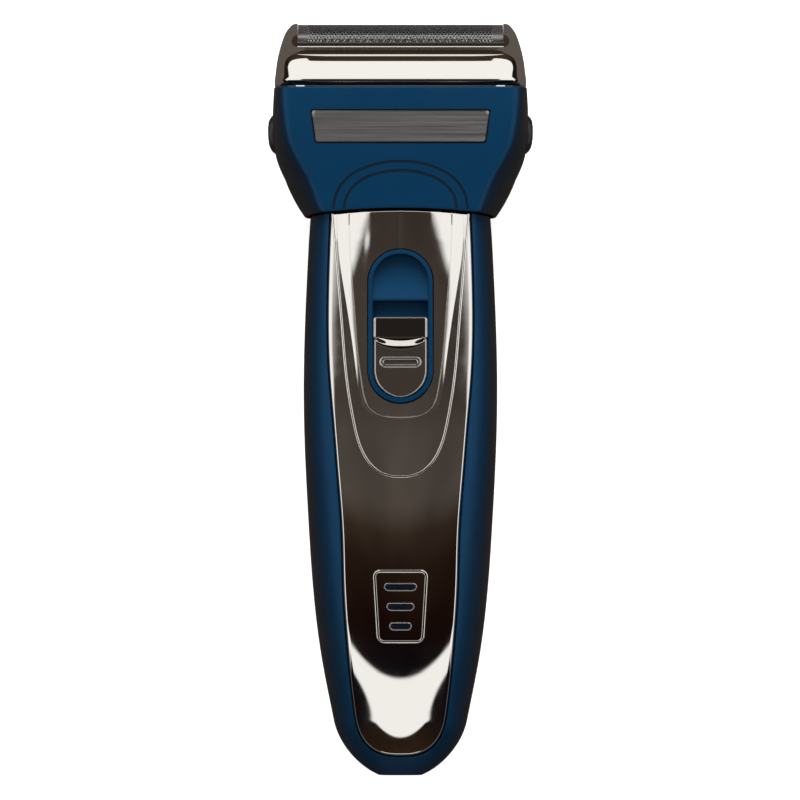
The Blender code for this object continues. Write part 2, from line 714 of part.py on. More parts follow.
def make_board():
    box("circuit_board", (-8.4, 8.4), (-49.8, 13.0), BOARD_Z, BOARD)
    for i, (y, _) in enumerate(CHARGE_BARS):
        box(f"charge_lamp_{i + 1}", (-0.9, 0.9), (y - 0.5, y + 0.5), (BOARD_Z[1] + 0.05, 27.6), LAMP)
    body = box("board_switch", (-2.2, 2.2), (2.2, 12.4), (BOARD_Z[1] + 0.05, 27.5), CAN)
    cut(body, box("switch_track", (-1.2, 1.2), (3.4, 11.6), (25.6, 30)))
    rod("smoothing_capacitor", (5.2, -8), 2.0, BOARD_Z[1] + 0.05, 29.6, BLACK, "Z", 16)


def handle_ring(y, inset, steps=32):
    """The whole handle outline at y, brought in by inset."""
    points = []
    for t in np.linspace(0, 2 * math.pi, steps, endpoint=False):
        front = math.sin(t) >= 0
        line = handle_front(y) if front else handle_back(y)
        power = handle_power(y) if front else BACK_POWER
        x, z = quarter(t, power)
        up = line - PARTING_Z
        up -= math.copysign(inset * (1.8 if front else 1), up)
        points.append(((handle_half_width(y) - inset) * x, y, PARTING_Z + up * z))
    return points


def make_neck():
    plate = loft("neck_plate", [handle_ring(y, WALL + FIT_GAP) for y in (36.0, 38.2)], BLACK)
    spigot_outline = [(x, z + AXIS_Z) for x, z in oval(12.0, 8.0, 28, 2.6)]
    spigot = prism("spigot", spigot_outline, 37.5, 43.4, plane="XZ")
    join(plate, spigot)
    cut(plate, rod("seal_bore", (0, AXIS_Z), 5.4, 30, 50, sides=24))
    seal = rod("shaft_seal", (0, AXIS_Z), 5.2, 36.2, 38.6, RUBBER, sides=24)
    cut(seal, rod("seal_way", (0, AXIS_Z), SHAFT_RADIUS + RUN_GAP, 30, 50, sides=16))


def make_socket():
    socket = rod("charge_socket", (0, SOCKET_Z), SOCKET_RADIUS, SOCKET_FACE_Y, -69.0, BLACK, sides=20)
    cut(socket, rod("plug_bore", (0, SOCKET_Z), 1.55, -90, -71, sides=16))
    rod("socket_pin", (0, SOCKET_Z), 0.6, -78.2, -71.1, BRASS, sides=12)


# ---------------------------------------------------------------- shaving head
def bezier(start, control, end, shares):
    """Points of a quadratic curve at the given shares of its length."""
    return [
        tuple(
            (1 - t) ** 2 * a + 2 * t * (1 - t) * b + t * t * c
            for a, b, c in zip(start, control, end)
        )
        for t in shares
    ]


def head_front_quarter(y, inset, face, crease, side):
    """(x, z) from the front's middle out to the head's widest point, in three stretches."""
    width = head_half_width(y) - inset
    edge = head_crease(y) - inset * 0.7
    middle = head_front(y) - inset
    fillet = CREASE_ROUND
    flat = edge - fillet
    points = [
        (flat * t, middle - HEAD_CROWN * (flat * t / edge) ** 2)
        for t in np.linspace(0, 1, face + 1)
    ]
    corner = (edge, middle - HEAD_CROWN)
    fall = (edge + fillet * 0.5, corner[1] - fillet * 0.5 * SIDE_FALL)
    points += bezier(points[-1], corner, fall, np.linspace(0, 1, crease + 1)[1:])
    knee = (width, fall[1] - (width - fall[0]) * SIDE_FALL)
    points += bezier(fall, knee, (width, AXIS_Z), np.linspace(0, 1, side + 1)[1:])
    return points


def head_ring(y, inset, face=4, crease=2, side=5, back=20):
    """The head's outline at y, from its right side over the front and round the back."""
    quarter_points = head_front_quarter(y, inset, face, crease, side)
    front = quarter_points[::-1] + [(-x, z) for x, z in quarter_points[1:]]
    depth = AXIS_Z - head_back(y) - inset
    width = head_half_width(y) - inset
    rear = []
    for t in np.linspace(math.pi, 2 * math.pi, back + 1)[1:-1]:
        x, z = quarter(t, head_back_power(y))
        rear.append((width * x, AXIS_Z - depth * z))
    return [(x, y + seam_shift(x, y, z), z) for x, z in front + rear]


def make_head_housing():
    stations = [HEAD_Y, 42.2, 43.6, 45.3, 47.2, 50, 53, 57, 61, 64.5, HEAD_TOP_Y]
    housing = loft("head_housing", [head_ring(y, 0) for y in stations], BLUE)
    inside = [HEAD_Y, 42.5, 44.5, 48, 52, 57, 62, HEAD_TOP_Y]
    rings = [head_ring(y, WALL, 2, 2, 4, 16) for y in inside]
    below = [(x, y - 4, z) for x, y, z in rings[0]]
    above = [(x, y + 4, z) for x, y, z in rings[-1]]
    hollow = loft("head_hollow", [below] + rings + [above])
    bed_y = [PLATE_Y[0] - 0.35, PLATE_Y[1] + 0.35]
    plate_bed = slab("plate_bed", bed_y, lambda y: plate_half_width(y) + FIT_GAP,
                     lambda x, y: 45.0, lambda x, y: head_surface(x, y) - 1.05, 10)
    cut(housing, hollow, plate_bed)
    for side in (-1, 1):
        cut(housing, prism(f"button_hole_{side}", button_outline(-0.25), *out_to(side, 20, 35), plane="YZ"))
    set_origin(HEAD_ORIGIN, housing)


def plate_half_width(y):
    return PLATE_HALF_WIDTH + PLATE_FLARE * (y - PLATE_Y[0])


def button_outline(inset):
    """A release button's outline in YZ, brought in by inset."""
    outline = oval(BUTTON_HALF_Y - inset, BUTTON_HALF_Z - inset, 24, 2.6)
    return [(BUTTON_Y + a, AXIS_Z + b) for a, b in outline]


def make_name_plate():
    plate = slab("name_plate", list(np.linspace(*PLATE_Y, 3)), plate_half_width,
                 lambda x, y: head_surface(x, y) - 0.12, lambda x, y: head_surface(x, y) - 0.75,
                 10, ALUMINIUM)
    set_origin(HEAD_ORIGIN, plate)


def make_head_chassis():
    sections = [head_ring(y, WALL + 2 * FIT_GAP, 2, 2, 4, 16) for y in (44.6, 46.4)]
    chassis = loft("head_chassis", sections, BLACK)
    for i, side in enumerate((-1, 1)):
        post = box(f"spring_post_{i}", out_to(side, 18.2, 19.4), (45, 60.0), around_axis(4))
        join(chassis, post)
    cut(chassis, rod("drive_hole", (0, AXIS_Z), 5.2, 40, 50, sides=24))
    set_origin(HEAD_ORIGIN, chassis)


def make_buttons():
    face = BUTTON_FACE_X
    steps = ((BUTTON_ROOT_X, 0), (face - 0.6, 0), (face - 0.15, 0.3), (face, 0.9))
    for i, (name, side) in enumerate((("release_button_left", -1), ("release_button_right", 1))):
        button = loft(name, [
            [(side * x, y, z) for y, z in button_outline(inset)] for x, inset in steps
        ], BLACK)
        flange = box(name + "_flange", out_to(side, BUTTON_ROOT_X - 1, BUTTON_ROOT_X + 0.2),
                     (BUTTON_Y - 5.2, BUTTON_Y + 5.0), around_axis(4.4))
        hook = box(name + "_hook", out_to(side, BUTTON_ROOT_X - 1, BUTTON_ROOT_X), (60.5, 63.6),
                   around_axis(2.4))
        join(button, flange, hook)
        ribs = []
        for k in (-1, 0, 1):
            y = BUTTON_Y + k * 1.3
            ribs.append(box(f"{name}_rib_{k}", out_to(side, face - 0.25, 30), (y - 0.3, y + 0.3),
                            around_axis(1.9)))
        cut(button, *ribs)
        set_origin((side * BUTTON_ROOT_X, BUTTON_Y, AXIS_Z), button)
        start = 19.6 if side > 0 else -22.0
        coil(f"button_spring_{i + 1}", (start, BUTTON_Y, AXIS_Z), "X", 2.4, 1.6, 0.2, 4, CAN)


def make_cutter():
    bridge = box("drive_bridge", (-15.5, 15.5), (56.0, 58.0), around_axis(3.6), WHITE)
    for i, side in enumerate((-1, 1)):
        join(bridge, box(f"fork_{i}", out_to(side, 2.85, 4.6), (46.6, 56.6), around_axis(2.4)))
    join(bridge, rod("pillar", (0, AXIS_Z), 1.4, 57.5, 66.5, sides=14))
    spring = coil("cutter_spring", (0, 58.35, AXIS_Z), "Y", 5.4, 2.3, 0.22, 5, CAN)
    carrier = box("cutter_carrier", (-17.0, 17.0), (64.2, 70.6), around_axis(3.0), BLACK)
    cut(carrier, rod("pillar_way", (0, AXIS_Z), 1.7, 60, 68.5, sides=14))
    profile = [(FOIL_CENTRE_Y + BLADE_RADIUS * math.sin(t), AXIS_Z + BLADE_RADIUS * math.cos(t))
               for t in np.linspace(-0.25, math.pi + 0.25, 15)]
    profile += [(70.9, AXIS_Z - 2.6), (70.9, AXIS_Z + 2.6)]
    blades = prism("cutter_blades", profile, -BLADE_HALF, BLADE_HALF, STEEL, plane="YZ")
    pitch = 2 * BLADE_HALF / (BLADE_COUNT - 0.6)
    gap = pitch * 0.6
    bm = bmesh.new()
    for k in range(BLADE_COUNT - 1):
        x = -BLADE_HALF + pitch * (k + 0.4) + gap / 2
        made = bmesh.ops.create_cube(bm, size=1)["verts"]
        bmesh.ops.scale(bm, vec=(gap, 8, 12), verts=made)
        bmesh.ops.translate(bm, vec=(x, 77.4, AXIS_Z), verts=made)
    cut(blades, from_bmesh("blade_gaps", bm, None))
    set_origin((0, 57.0, AXIS_Z), bridge, spring, carrier, blades)


# ---------------------------------------------------------------- foil cassette
def frame_ring(y, inset=0.0, drop=0.0, steps=40):
    """(x, z) of the frame's outline at y, drawn in all round, and further in front and behind."""
    points = []
    for t in np.linspace(0, 2 * math.pi, steps, endpoint=False):
        x, z = quarter(t, FRAME_POWER)
        height = math.copysign(z, math.sin(t)) * (frame_half_depth(y) - inset - drop)
        points.append(((frame_half_width(y) - inset) * x, AXIS_Z + height))
    return points


def make_foil_frame():
    lip_y = FRAME_Y + FRAME_LIP

    def at(y, inset=0.0, drop=0.0, shape=None):
        return [(x, y, z) for x, z in frame_ring(shape or y, inset, drop)]

    rings = [at(61.4, 2.7, 0.4, lip_y), at(FRAME_Y, 2.7, 0.4, lip_y)]
    rings += [at(FRAME_Y, 0, FRAME_LIP_DROP, lip_y), at(lip_y)]
    rings += [at(y) for y in (69, 70.8, 72.3, 73.6, 75, 76.4, 77.6, 78.6, 79.3, 79.75)]
    rings += [at(HALF_LENGTH, 0.9)]
    frame = loft("foil_frame", rings, CHROME)
    for i, side in enumerate((-1, 1)):
        outline = [(y, AXIS_Z + side * z) for z, y in ROOF]
        outline += [(85, AXIS_Z), (85, AXIS_Z + side * 20)]
        cut(frame, prism(f"roof_{i}", outline, -HORN_INNER, HORN_INNER, plane="YZ"))
    slot_half = HORN_INNER - 0.02
    slot = box("foil_slot", (-slot_half, slot_half), (60, 84), around_axis(4.75))
    cavity = box("cassette_cavity", (-21.4, 21.4), (50, 70.5), around_axis(8.5))
    notches = box("hook_notches", (-30, 30), (50, 64.4), around_axis(4.8))
    cut(frame, slot, cavity, notches)
    set_origin((0, FRAME_Y, AXIS_Z), frame)


def make_foil():
    def arch(radius, foot):
        points = [(FOIL_CENTRE_Y + radius * math.sin(t), AXIS_Z + radius * math.cos(t))
                  for t in np.linspace(0, math.pi, 17)]
        return [(foot, AXIS_Z + radius)] + points + [(foot, AXIS_Z - radius)]

    outline = arch(FOIL_RADIUS, 70.9) + arch(FOIL_RADIUS - FOIL_THICKNESS, 70.9)[::-1]
    foil = prism("foil", outline, -FOIL_HALF, FOIL_HALF, STEEL, plane="YZ")
    set_origin((0, FRAME_Y, AXIS_Z), foil)
    for i, side in enumerate((-1, 1)):
        profile = [
            (FOIL_CENTRE_Y + BLADE_RADIUS * math.sin(t), AXIS_Z + BLADE_RADIUS * math.cos(t))
            for t in np.linspace(0, math.pi, 11)
        ]
        profile += [(71.0, AXIS_Z - BLADE_RADIUS), (71.0, AXIS_Z + BLADE_RADIUS)]
        end = prism(f"foil_end_{i + 1}", profile, *out_to(side, 20.0, 21.4), BLACK, "YZ")
        set_origin((0, FRAME_Y, AXIS_Z), end)


make_front_shell()
make_rear_shell()
make_screws()
make_panel()
make_light_guide()
make_surround()
make_switch()
make_motor()
make_rotor()
make_battery()
make_chassis()
make_board()
make_neck()
make_socket()
make_head_housing()
make_name_plate()
make_head_chassis()
make_buttons()
make_cutter()
make_foil_frame()
make_foil()
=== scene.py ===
"""Looks of the foil shaver: fine surfaces, materials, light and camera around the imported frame.

Frame: X is the width, +Y runs from the charging end to the foil, +Z is the side with the switch.
Shapes are worked out in millimetres, in the frame's own coordinates, and scaled to metres.
"""

import math

import bmesh
import bpy
import numpy as np
from mathutils import Matrix, Vector


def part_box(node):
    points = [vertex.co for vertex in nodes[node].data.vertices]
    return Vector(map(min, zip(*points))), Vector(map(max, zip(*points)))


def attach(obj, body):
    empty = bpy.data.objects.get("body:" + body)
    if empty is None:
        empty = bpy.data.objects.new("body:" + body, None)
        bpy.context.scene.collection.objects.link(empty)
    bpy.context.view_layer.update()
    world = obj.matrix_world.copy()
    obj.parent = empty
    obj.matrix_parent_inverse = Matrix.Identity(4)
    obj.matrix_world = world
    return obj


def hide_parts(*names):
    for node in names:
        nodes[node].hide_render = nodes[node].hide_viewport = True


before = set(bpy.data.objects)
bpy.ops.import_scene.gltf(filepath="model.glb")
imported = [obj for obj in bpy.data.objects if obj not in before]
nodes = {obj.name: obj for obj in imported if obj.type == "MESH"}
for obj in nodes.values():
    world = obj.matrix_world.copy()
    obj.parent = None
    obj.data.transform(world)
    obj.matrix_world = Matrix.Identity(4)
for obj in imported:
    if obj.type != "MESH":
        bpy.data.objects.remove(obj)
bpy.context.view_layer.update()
MM = 0.001


def span(node):
    """A CAD node's (low, high) corners in millimetres."""
    low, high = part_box(node)
    return low / MM, high / MM


# ---------------------------------------------------------------- driving dimensions
FOIL_LOW, FOIL_HIGH = span("foil")
SHAFT_LOW, SHAFT_HIGH = span("motor_shaft")
PANEL_END_Y = span("front_panel")[0].y
REAR_TOP_Z = span("rear_shell")[1].z

GAP = 0.3
PARTING_Z = REAR_TOP_Z + GAP / 2
AXIS_Z = (SHAFT_LOW.z + SHAFT_HIGH.z) / 2
NECK_Y = 40.3
HEAD_Y = NECK_Y + 0.4
HEAD_TOP_Y = 66.4
FRAME_Y = HEAD_TOP_Y + GAP
SEAM_CURVE = 0.0035
SEAM_TILT = 0.0375
SKIN = 1.6  # thickness of the visible shells
END_Y = -80.0
END_CAP_Y = -68.3
END_CAP_LENGTH = 12.6
END_POWER = 2.6  # roundness of the closed ends of the panel, the plate and the bead
SPINE_END = -58.0
SOCKET_RADIUS = 2.4
SOCKET_Z = 14.5

# The same lines as the CAD's, joined by smooth splines.
HANDLE_HALF_WIDTH = [
    (-80, 12.0), (-68.3, 14.2), (-55.5, 16.7), (-43, 18.35), (-25, 19.65),
    (-4, 20.55), (8, 20.55), (28, 19.8), (39.5, 19.2),
]
HANDLE_FRONT_Z = [
    (-80, 20.4), (-68.3, 25.4), (-60, 28.6), (-52, 30.9), (-44, 32.5), (-34, 33.7),
    (-20, 34.3), (-5, 34.05), (8, 33.36), (20, 32.7), (30, 32.15), (39.5, 31.63),
]
HANDLE_BACK_Z = [
    (-80, 6.8), (-68.3, 4.2), (-58, 1.6), (-48, -0.2), (-38, -0.8), (-20, -0.9),
    (0, -0.9), (14, -0.7), (26, 0.6), (39.5, 3.2),
]
HANDLE_FRONT_POWER = [(-80, 2.5), (-60, 2.8), (-45, 3.1), (-25, 3.6), (0, 4.1), (39.5, 4.2)]
BACK_POWER = 2.6
HEAD_HALF_WIDTH = [
    (39.5, 19.3), (41.6, 21.1), (45, 23.55), (48.5, 25.4), (52, 26.6), (56, 27.1),
    (60, 27.2), (67.3, 26.85),
]
HEAD_FRONT_Z = [(39.5, 31.95), (50, 31.6), (60, 31.1), (67.3, 30.3)]
HEAD_BACK_Z = [(39.5, 3.2), (46, 1.9), (53, 1.2), (60, 1.5), (67.3, 2.7)]
HEAD_BACK_POWER = [(39.5, 3.0), (50, 3.8), (60, 5.2), (67.3, 5.5)]
HEAD_CREASE = [
    (39.5, 16.0), (41.2, 16.9), (44, 18.1), (47, 19.6), (50, 21.3), (53.6, 23.1), (58.3, 24.2),
    (63, 24.7), (67.3, 24.9),
]
CREASE_ROUND = 1.3
HEAD_CROWN = 0.35
SIDE_FALL = 1.45
FRAME_HALF_WIDTH = [
    (66.7, 26.9), (70, 26.5), (72.5, 26.15), (75, 25.55), (77, 24.9), (78.6, 24.1), (80, 22.9),
]
FRAME_HALF_DEPTH = [
    (66.3, 14.77), (67.8, 14.1), (70, 13.12), (72.3, 12.1), (75, 9.6), (77, 7.9), (78.8, 5.9),
    (80, 3.6),
]
FRAME_POWER = 5.5
FRAME_LIP = 1.15
FRAME_LIP_DROP = 0.85
HORN_INNER = 21.9
ROOF = [
    (20, 72.35), (11.9, 72.35), (11.55, 72.85), (10.3, 73.25), (9.9, 73.5), (9.8, 74.3),
    (9.45, 74.65), (6.6, 74.95), (6.15, 75.1), (6.05, 75.7), (5.7, 75.9), (0, 75.9),
]
PANEL_HALF_WIDTH = [
    (-80, 7.9), (-68, 9.5), (-60.6, 10.4), (-48.2, 11.55), (-38.7, 12.1), (-28.9, 12.35),
    (-14.2, 13.4), (-4.4, 14.2), (5, 15.0), (24, 15.3), (39.5, 14.75),
]
PANEL_ROUND_Y = -65.5
PANEL_PROUD = 0.25
PANEL_THICKNESS = 1.5
PANEL_TOP_Y = NECK_Y - 0.15
PANEL_EDGE = 0.45
RECESS_DEPTH = 1.9
BED_TOP, BED_BOTTOM = 1.65, 2.3  # below the panel's surface
PLATE_TOP_Y = NECK_Y - 0.2
PLATE_SPINE_END = 3.5
PLATE_INNER_END = -3.95
PLATE_OUTER_END = -4.4
BEAD_TOP_Y = NECK_Y - 0.25
BEAD_SPINE_END = -4
BEAD_END = -16.3

SWITCH_Y = 15.55
SWITCH_TILT = math.atan(0.055)
SURROUND_RADIUS = 6.85
SURROUND_HALF = 16.3
CHANNEL_RADIUS = 5.85
CHANNEL_TOP = 5.45
SLIDER_RADIUS = 5.65
SLIDER_BOTTOM = -15.0
SLIDER_TOP = 1.85
CAP_RIDGE_Y = -2.4
GRIP_Y = -7.65
CHARGE_BARS = [(-39.7, 3.45), (-43.9, 2.9), (-48.05, 2.35)]
BAR_HALF_HEIGHT = 0.75

FOIL_RADIUS = (FOIL_HIGH.z - FOIL_LOW.z) / 2
FOIL_CENTRE_Y = FOIL_HIGH.y - FOIL_RADIUS
FOIL_HALF = FOIL_HIGH.x + 0.27
FOIL_FOOT_Y = 70.9
HOLE_PITCH = 0.71
HOLE_ROW = 0.605
HOLE_ROWS = 22
HOLE_RADIUS = 0.24
HOLE_FIELD_HALF = 20.0

BUTTON_Y = 56.5
# From inside to outside: (x, low y, high y, inset of the half height).
BUTTON_PROFILE = [
    (23.2, 52.1, 61.0, 0.0), (26.2, 52.1, 61.0, 0.0), (26.9, 52.4, 60.8, 0.05),
    (27.4, 52.9, 60.3, 0.2), (27.8, 53.6, 59.8, 0.45), (28.05, 54.5, 59.2, 0.8),
    (28.17, 55.4, 58.7, 1.2), (28.2, 56.4, 58.0, 1.7),
]
BUTTON_RIB_Y = [(54.9 + k * 1.15, 55.25 + k * 1.15) for k in range(4)]
BUTTON_FLANGE = (22.2, 23.4), (51.3, 61.1), (12.1, 20.9)
BUTTON_HOOK = (22.2, 23.2), (60.5, 63.6), (14.1, 18.9)
NAME_PLATE_Y = (54.6, 61.3)
NAME_PLATE_HALF = 18.0
NAME_PLATE_FLARE = 0.12
HEAD_ARCS = [(14.2, 10.2), (11.9, 8.25)]  # (reach, height) of the engraved arcs
ARC_RADIUS = 0.26

# What the chrome mirrors between the softboxes: tones of the room, by the direction's Y part.
ROOM_TONES = [
    (-0.6, (0.003, 0.003, 0.005)), (-0.38, (0.01, 0.004, 0.0025)), (-0.2, (0.018, 0.0095, 0.006)),
    (-0.11, (0.034, 0.022, 0.015)), (-0.045, (0.078, 0.064, 0.053)), (0.06, (0.075, 0.062, 0.053)),
    (0.14, (0.045, 0.034, 0.028)), (0.35, (0.02, 0.016, 0.014)), (0.55, (0.012, 0.01, 0.009)),
]
# Metres.
FLOOR_HALF = 1.5
CAMERA_DISTANCE = 3.0
VIEW_WIDTH = 0.17044
# Directions, as above.
LAMP_X, LAMP_Y = -0.235, 0.149  # direction of the small lamp
LAMP_HALF_X, LAMP_HALF_Y = 0.025, 0.009
# (name, tilt and spread in degrees, strength) of the lights that the chrome doesn't mirror
SOFT_LIGHTS = [("key", 57, 45, 3.4), ("fill", 0, 60, 0.35)]


# ---------------------------------------------------------------- profiles
def spline(points):
    """A natural cubic spline through the points, as a function."""
    x, y = np.array(points, float).T
    h = np.diff(x)
    n = len(x)
    system = np.eye(n)
    slopes = np.zeros(n)
    for i in range(1, n - 1):
        system[i, i - 1:i + 2] = h[i - 1], 2 * (h[i - 1] + h[i]), h[i]
        slopes[i] = 6 * ((y[i + 1] - y[i]) / h[i] - (y[i] - y[i - 1]) / h[i - 1])
    second = np.linalg.solve(system, slopes)

    def at(value):
        i = int(np.clip(np.searchsorted(x, value) - 1, 0, n - 2))
        left, right = value - x[i], x[i + 1] - value
        cubic = (second[i] * right**3 + second[i + 1] * left**3) / (6 * h[i])
        line = (y[i] / h[i] - second[i] * h[i] / 6) * right
        return cubic + line + (y[i + 1] / h[i] - second[i + 1] * h[i] / 6) * left

    return at


handle_half_width = spline(HANDLE_HALF_WIDTH)
handle_front = spline(HANDLE_FRONT_Z)
handle_back = spline(HANDLE_BACK_Z)
handle_power = spline(HANDLE_FRONT_POWER)
head_half_width = spline(HEAD_HALF_WIDTH)
head_front = spline(HEAD_FRONT_Z)
head_back = spline(HEAD_BACK_Z)
head_back_power = spline(HEAD_BACK_POWER)
head_crease = spline(HEAD_CREASE)
frame_half_width = spline(FRAME_HALF_WIDTH)
frame_half_depth = spline(FRAME_HALF_DEPTH)


def rounded_end(base, start, end):
    """A half width that closes in a rounded end between two stations."""
    def at(y):
        t = max(0.0, (start - y) / (start - end))
        return base(y) * max(0.0, 1 - t**3) ** (1 / END_POWER)

    return at


panel_half_width = rounded_end(spline(PANEL_HALF_WIDTH), PANEL_ROUND_Y, PANEL_END_Y)


def end_cap(y):
    t = min(1.0, max(0.0, END_CAP_Y - y) / END_CAP_LENGTH)
    return math.sqrt(1 - t * t)


def handle_surface(x, y):
    """Height of the front shell."""
    share = min(1.0, abs(x) / (handle_half_width(y) * end_cap(y)))
    power = handle_power(y)
    rise = (handle_front(y) - PARTING_Z) * end_cap(y)
    return PARTING_Z + rise * (1 - share**power) ** (1 / power)


def head_surface(x, y):
    return head_front(y) - HEAD_CROWN * (x / head_crease(y)) ** 2


def seam_shift(x, y, z):
    fade = max(0.0, 1 - abs(y - NECK_Y) / 6.5)
    return fade * (SEAM_TILT * (z - 31) - SEAM_CURVE * x * x)


def bent(x, y, z):
    """A point moved along with the neck seam's curve."""
    return x, y + seam_shift(x, y, z), z


def panel_surface(x, y):
    edge = max(panel_half_width(y), 1.0)
    middle = handle_surface(0, y) + PANEL_PROUD
    drop = middle - handle_surface(edge, y) - PANEL_PROUD
    return middle - drop * (x / edge) ** 2


def round_box(t, power):
    """A point at angle t of a unit superellipse."""
    return tuple(math.copysign(abs(v) ** (2 / power), v) for v in (math.cos(t), math.sin(t)))


def full_turn(count):
    return np.linspace(0, 2 * math.pi, count, endpoint=False)


def smooth(t):
    t = min(1.0, max(0.0, t))
    return t * t * (3 - 2 * t)


# ---------------------------------------------------------------- modelling tools
def add_object(name, data):
    obj = bpy.data.objects.new(name, data)
    bpy.context.scene.collection.objects.link(obj)
    return obj


def mesh_object(bm, name):
    """An object in metres from a bmesh in millimetres."""
    bmesh.ops.scale(bm, vec=(MM, MM, MM), verts=bm.verts)
    mesh = bpy.data.meshes.new(name)
    bm.to_mesh(mesh)
    bm.free()
    mesh.shade_smooth()
    return add_object(name, mesh)


def finish_mesh(bm, name, angle=35):
    bmesh.ops.recalc_face_normals(bm, faces=bm.faces)
    obj = mesh_object(bm, name)
    obj.data.set_sharp_from_angle(angle=math.radians(angle))
    return obj


def edit_mesh(obj, change):
    """Change an object's mesh as a bmesh."""
    bm = bmesh.new()
    bm.from_mesh(obj.data)
    change(bm)
    bm.to_mesh(obj.data)
    bm.free()


def weld(obj, distance):
    edit_mesh(obj, lambda bm: bmesh.ops.remove_doubles(bm, verts=bm.verts, dist=distance))
    return obj


def wall(bm, rows, closed=True):
    """Faces between rows of equally many vertices."""
    count = len(rows[0])
    for low, high in zip(rows, rows[1:]):
        for i in range(count if closed else count - 1):
            j = (i + 1) % count
            bm.faces.new((low[i], low[j], high[j], high[i]))


def loft(name, rings, angle=35, closed=True, caps=True):
    """A body, or an open sheet, through rows of equally many points."""
    bm = bmesh.new()
    loops = [[bm.verts.new(p) for p in ring] for ring in rings]
    wall(bm, loops, closed)
    if caps and closed:
        bm.faces.new(loops[0])
        bm.faces.new(loops[-1])
    return finish_mesh(bm, name, angle)


def slab(name, stations, half_width, top, bottom, across, along_seam=False, angle=35):
    """A plate between two height functions, with stations along Y and a half width at each."""
    shares = np.linspace(-1, 1, across + 1)
    rings = []
    for y in stations:
        xs = shares * max(half_width(y), 0.05)
        ring = [(x, y, top(x, y)) for x in xs] + [(x, y, bottom(x, y)) for x in reversed(xs)]
        rings.append([bent(*p) for p in ring] if along_seam else ring)
    return loft(name, rings, angle)


def prism(name, outline, low, high, plane="XY"):
    place = {
        "XY": lambda a, b, c: (a, b, c),
        "YZ": lambda a, b, c: (c, a, b),
        "XZ": lambda a, b, c: (a, c, b),
    }[plane]
    return loft(name, [[place(a, b, c) for a, b in outline] for c in (low, high)])


def box(name, x, y, z):
    outline = [(x[0], y[0]), (x[1], y[0]), (x[1], y[1]), (x[0], y[1])]
    return prism(name, outline, *z)


TURNS = {
    "X": Matrix.Rotation(math.pi / 2, 3, "Y"),
    "Y": Matrix.Rotation(-math.pi / 2, 3, "X"),
    "Z": Matrix.Identity(3),
}


def turned(name, profile, centre, along="Z", sides=48, angle=35):
    """A turned body: (radius, height) pairs from one end of its axis to the other."""
    turn = TURNS[along]
    rings = []
    for radius, height in profile:
        ring = [
            Vector((radius * math.cos(t), radius * math.sin(t), height))
            for t in full_turn(sides)
        ]
        rings.append([tuple(turn @ p + Vector(centre)) for p in ring])
    return loft(name, rings, angle)


def stadium(radius, low, high, steps=24, square_top=None):
    points = [
        (radius * math.cos(t), low + radius + radius * math.sin(t))
        for t in np.linspace(math.pi, 2 * math.pi, steps + 1)
    ]
    if square_top is None:
        return points + [
            (radius * math.cos(t), high - radius + radius * math.sin(t))
            for t in np.linspace(0, math.pi, steps + 1)
        ]
    r = square_top
    for side, start in ((1, 0.0), (-1, math.pi / 2)):
        points += [
            (side * (radius - r) + r * math.cos(t), high - r + r * math.sin(t))
            for t in np.linspace(start, start + math.pi / 2, 7)
        ]
    return points


def pill(centre_y, half_length, half_height, steps=12):
    reach = half_length - half_height
    ends = ((reach, -math.pi / 2), (-reach, math.pi / 2))
    return [
        (x + half_height * math.cos(t), centre_y + half_height * math.sin(t))
        for x, start in ends
        for t in np.linspace(start, start + math.pi, steps + 1)
    ]


def rounded_corners(top, low, radius, steps):
    """An outline with rounded corners, from its (half width, y) at the top and at the bottom."""
    points = []
    for corner, (half, y) in enumerate((top, top, low, low)):
        cx = (half - radius) * (1 if corner in (0, 3) else -1)
        cy = y - radius if corner < 2 else y + radius
        for t in np.linspace(corner * math.pi / 2, (corner + 1) * math.pi / 2, steps):
            points.append((cx + radius * math.cos(t), cy + radius * math.sin(t)))
    return points


def boolean(obj, operation, *others):
    for other in others:
        step = obj.modifiers.new("shape", "BOOLEAN")
        step.operation = operation
        step.object = other
        step.solver = "EXACT"
    apply_modifiers(obj)
    for other in others:
        bpy.data.objects.remove(other)
    return obj


def apply_modifiers(obj):
    bpy.context.view_layer.update()
    graph = bpy.context.evaluated_depsgraph_get()
    mesh = bpy.data.meshes.new_from_object(obj.evaluated_get(graph), depsgraph=graph)
    mesh.name = obj.name
    obj.modifiers.clear()
    obj.data = mesh
    mesh.shade_smooth()
    mesh.set_sharp_from_angle(angle=math.radians(35))
    return obj


def cut(obj, *others):
    return boolean(obj, "DIFFERENCE", *others)


def join(obj, *others):
    return boolean(obj, "UNION", *others)


def thicken(obj, thickness):
    """Give an open sheet a thickness towards its inner side."""
    step = obj.modifiers.new("skin", "SOLIDIFY")
    step.thickness = thickness * MM
    step.offset = -1
    return apply_modifiers(obj)


def bevel(obj, width, segments=3, angle=40):
    step = obj.modifiers.new("rounded_edges", "BEVEL")
    step.width = width * MM
    step.segments = segments
    step.limit_method = "ANGLE"
    step.angle_limit = math.radians(angle)
    return apply_modifiers(obj)


def orient(obj, side=1):
    """Turn an open sheet's faces up, or down with side -1."""
    if side * sum(p.normal.z * p.area for p in obj.data.polygons) < 0:
        obj.data.flip_normals()
    return obj


def sweep(name, path, profile, up, closed=False):
    """A bead along a path. profile is (across, rise) pairs; up gives the surface normal at a point."""
    rings = []
    count = len(path)
    for i, point in enumerate(path):
        before = path[(i - 1) % count] if closed or i else path[0]
        after = path[(i + 1) % count] if closed or i < count - 1 else path[-1]
        ahead = (Vector(after) - Vector(before)).normalized()
        normal = up(point).normalized()
        aside = ahead.cross(normal).normalized()
        rings.append([tuple(Vector(point) + aside * a + normal * b) for a, b in profile])
    if closed:
        rings.append(rings[0])
        return weld(loft(name, rings, caps=False), 1e-7)
    return loft(name, rings)


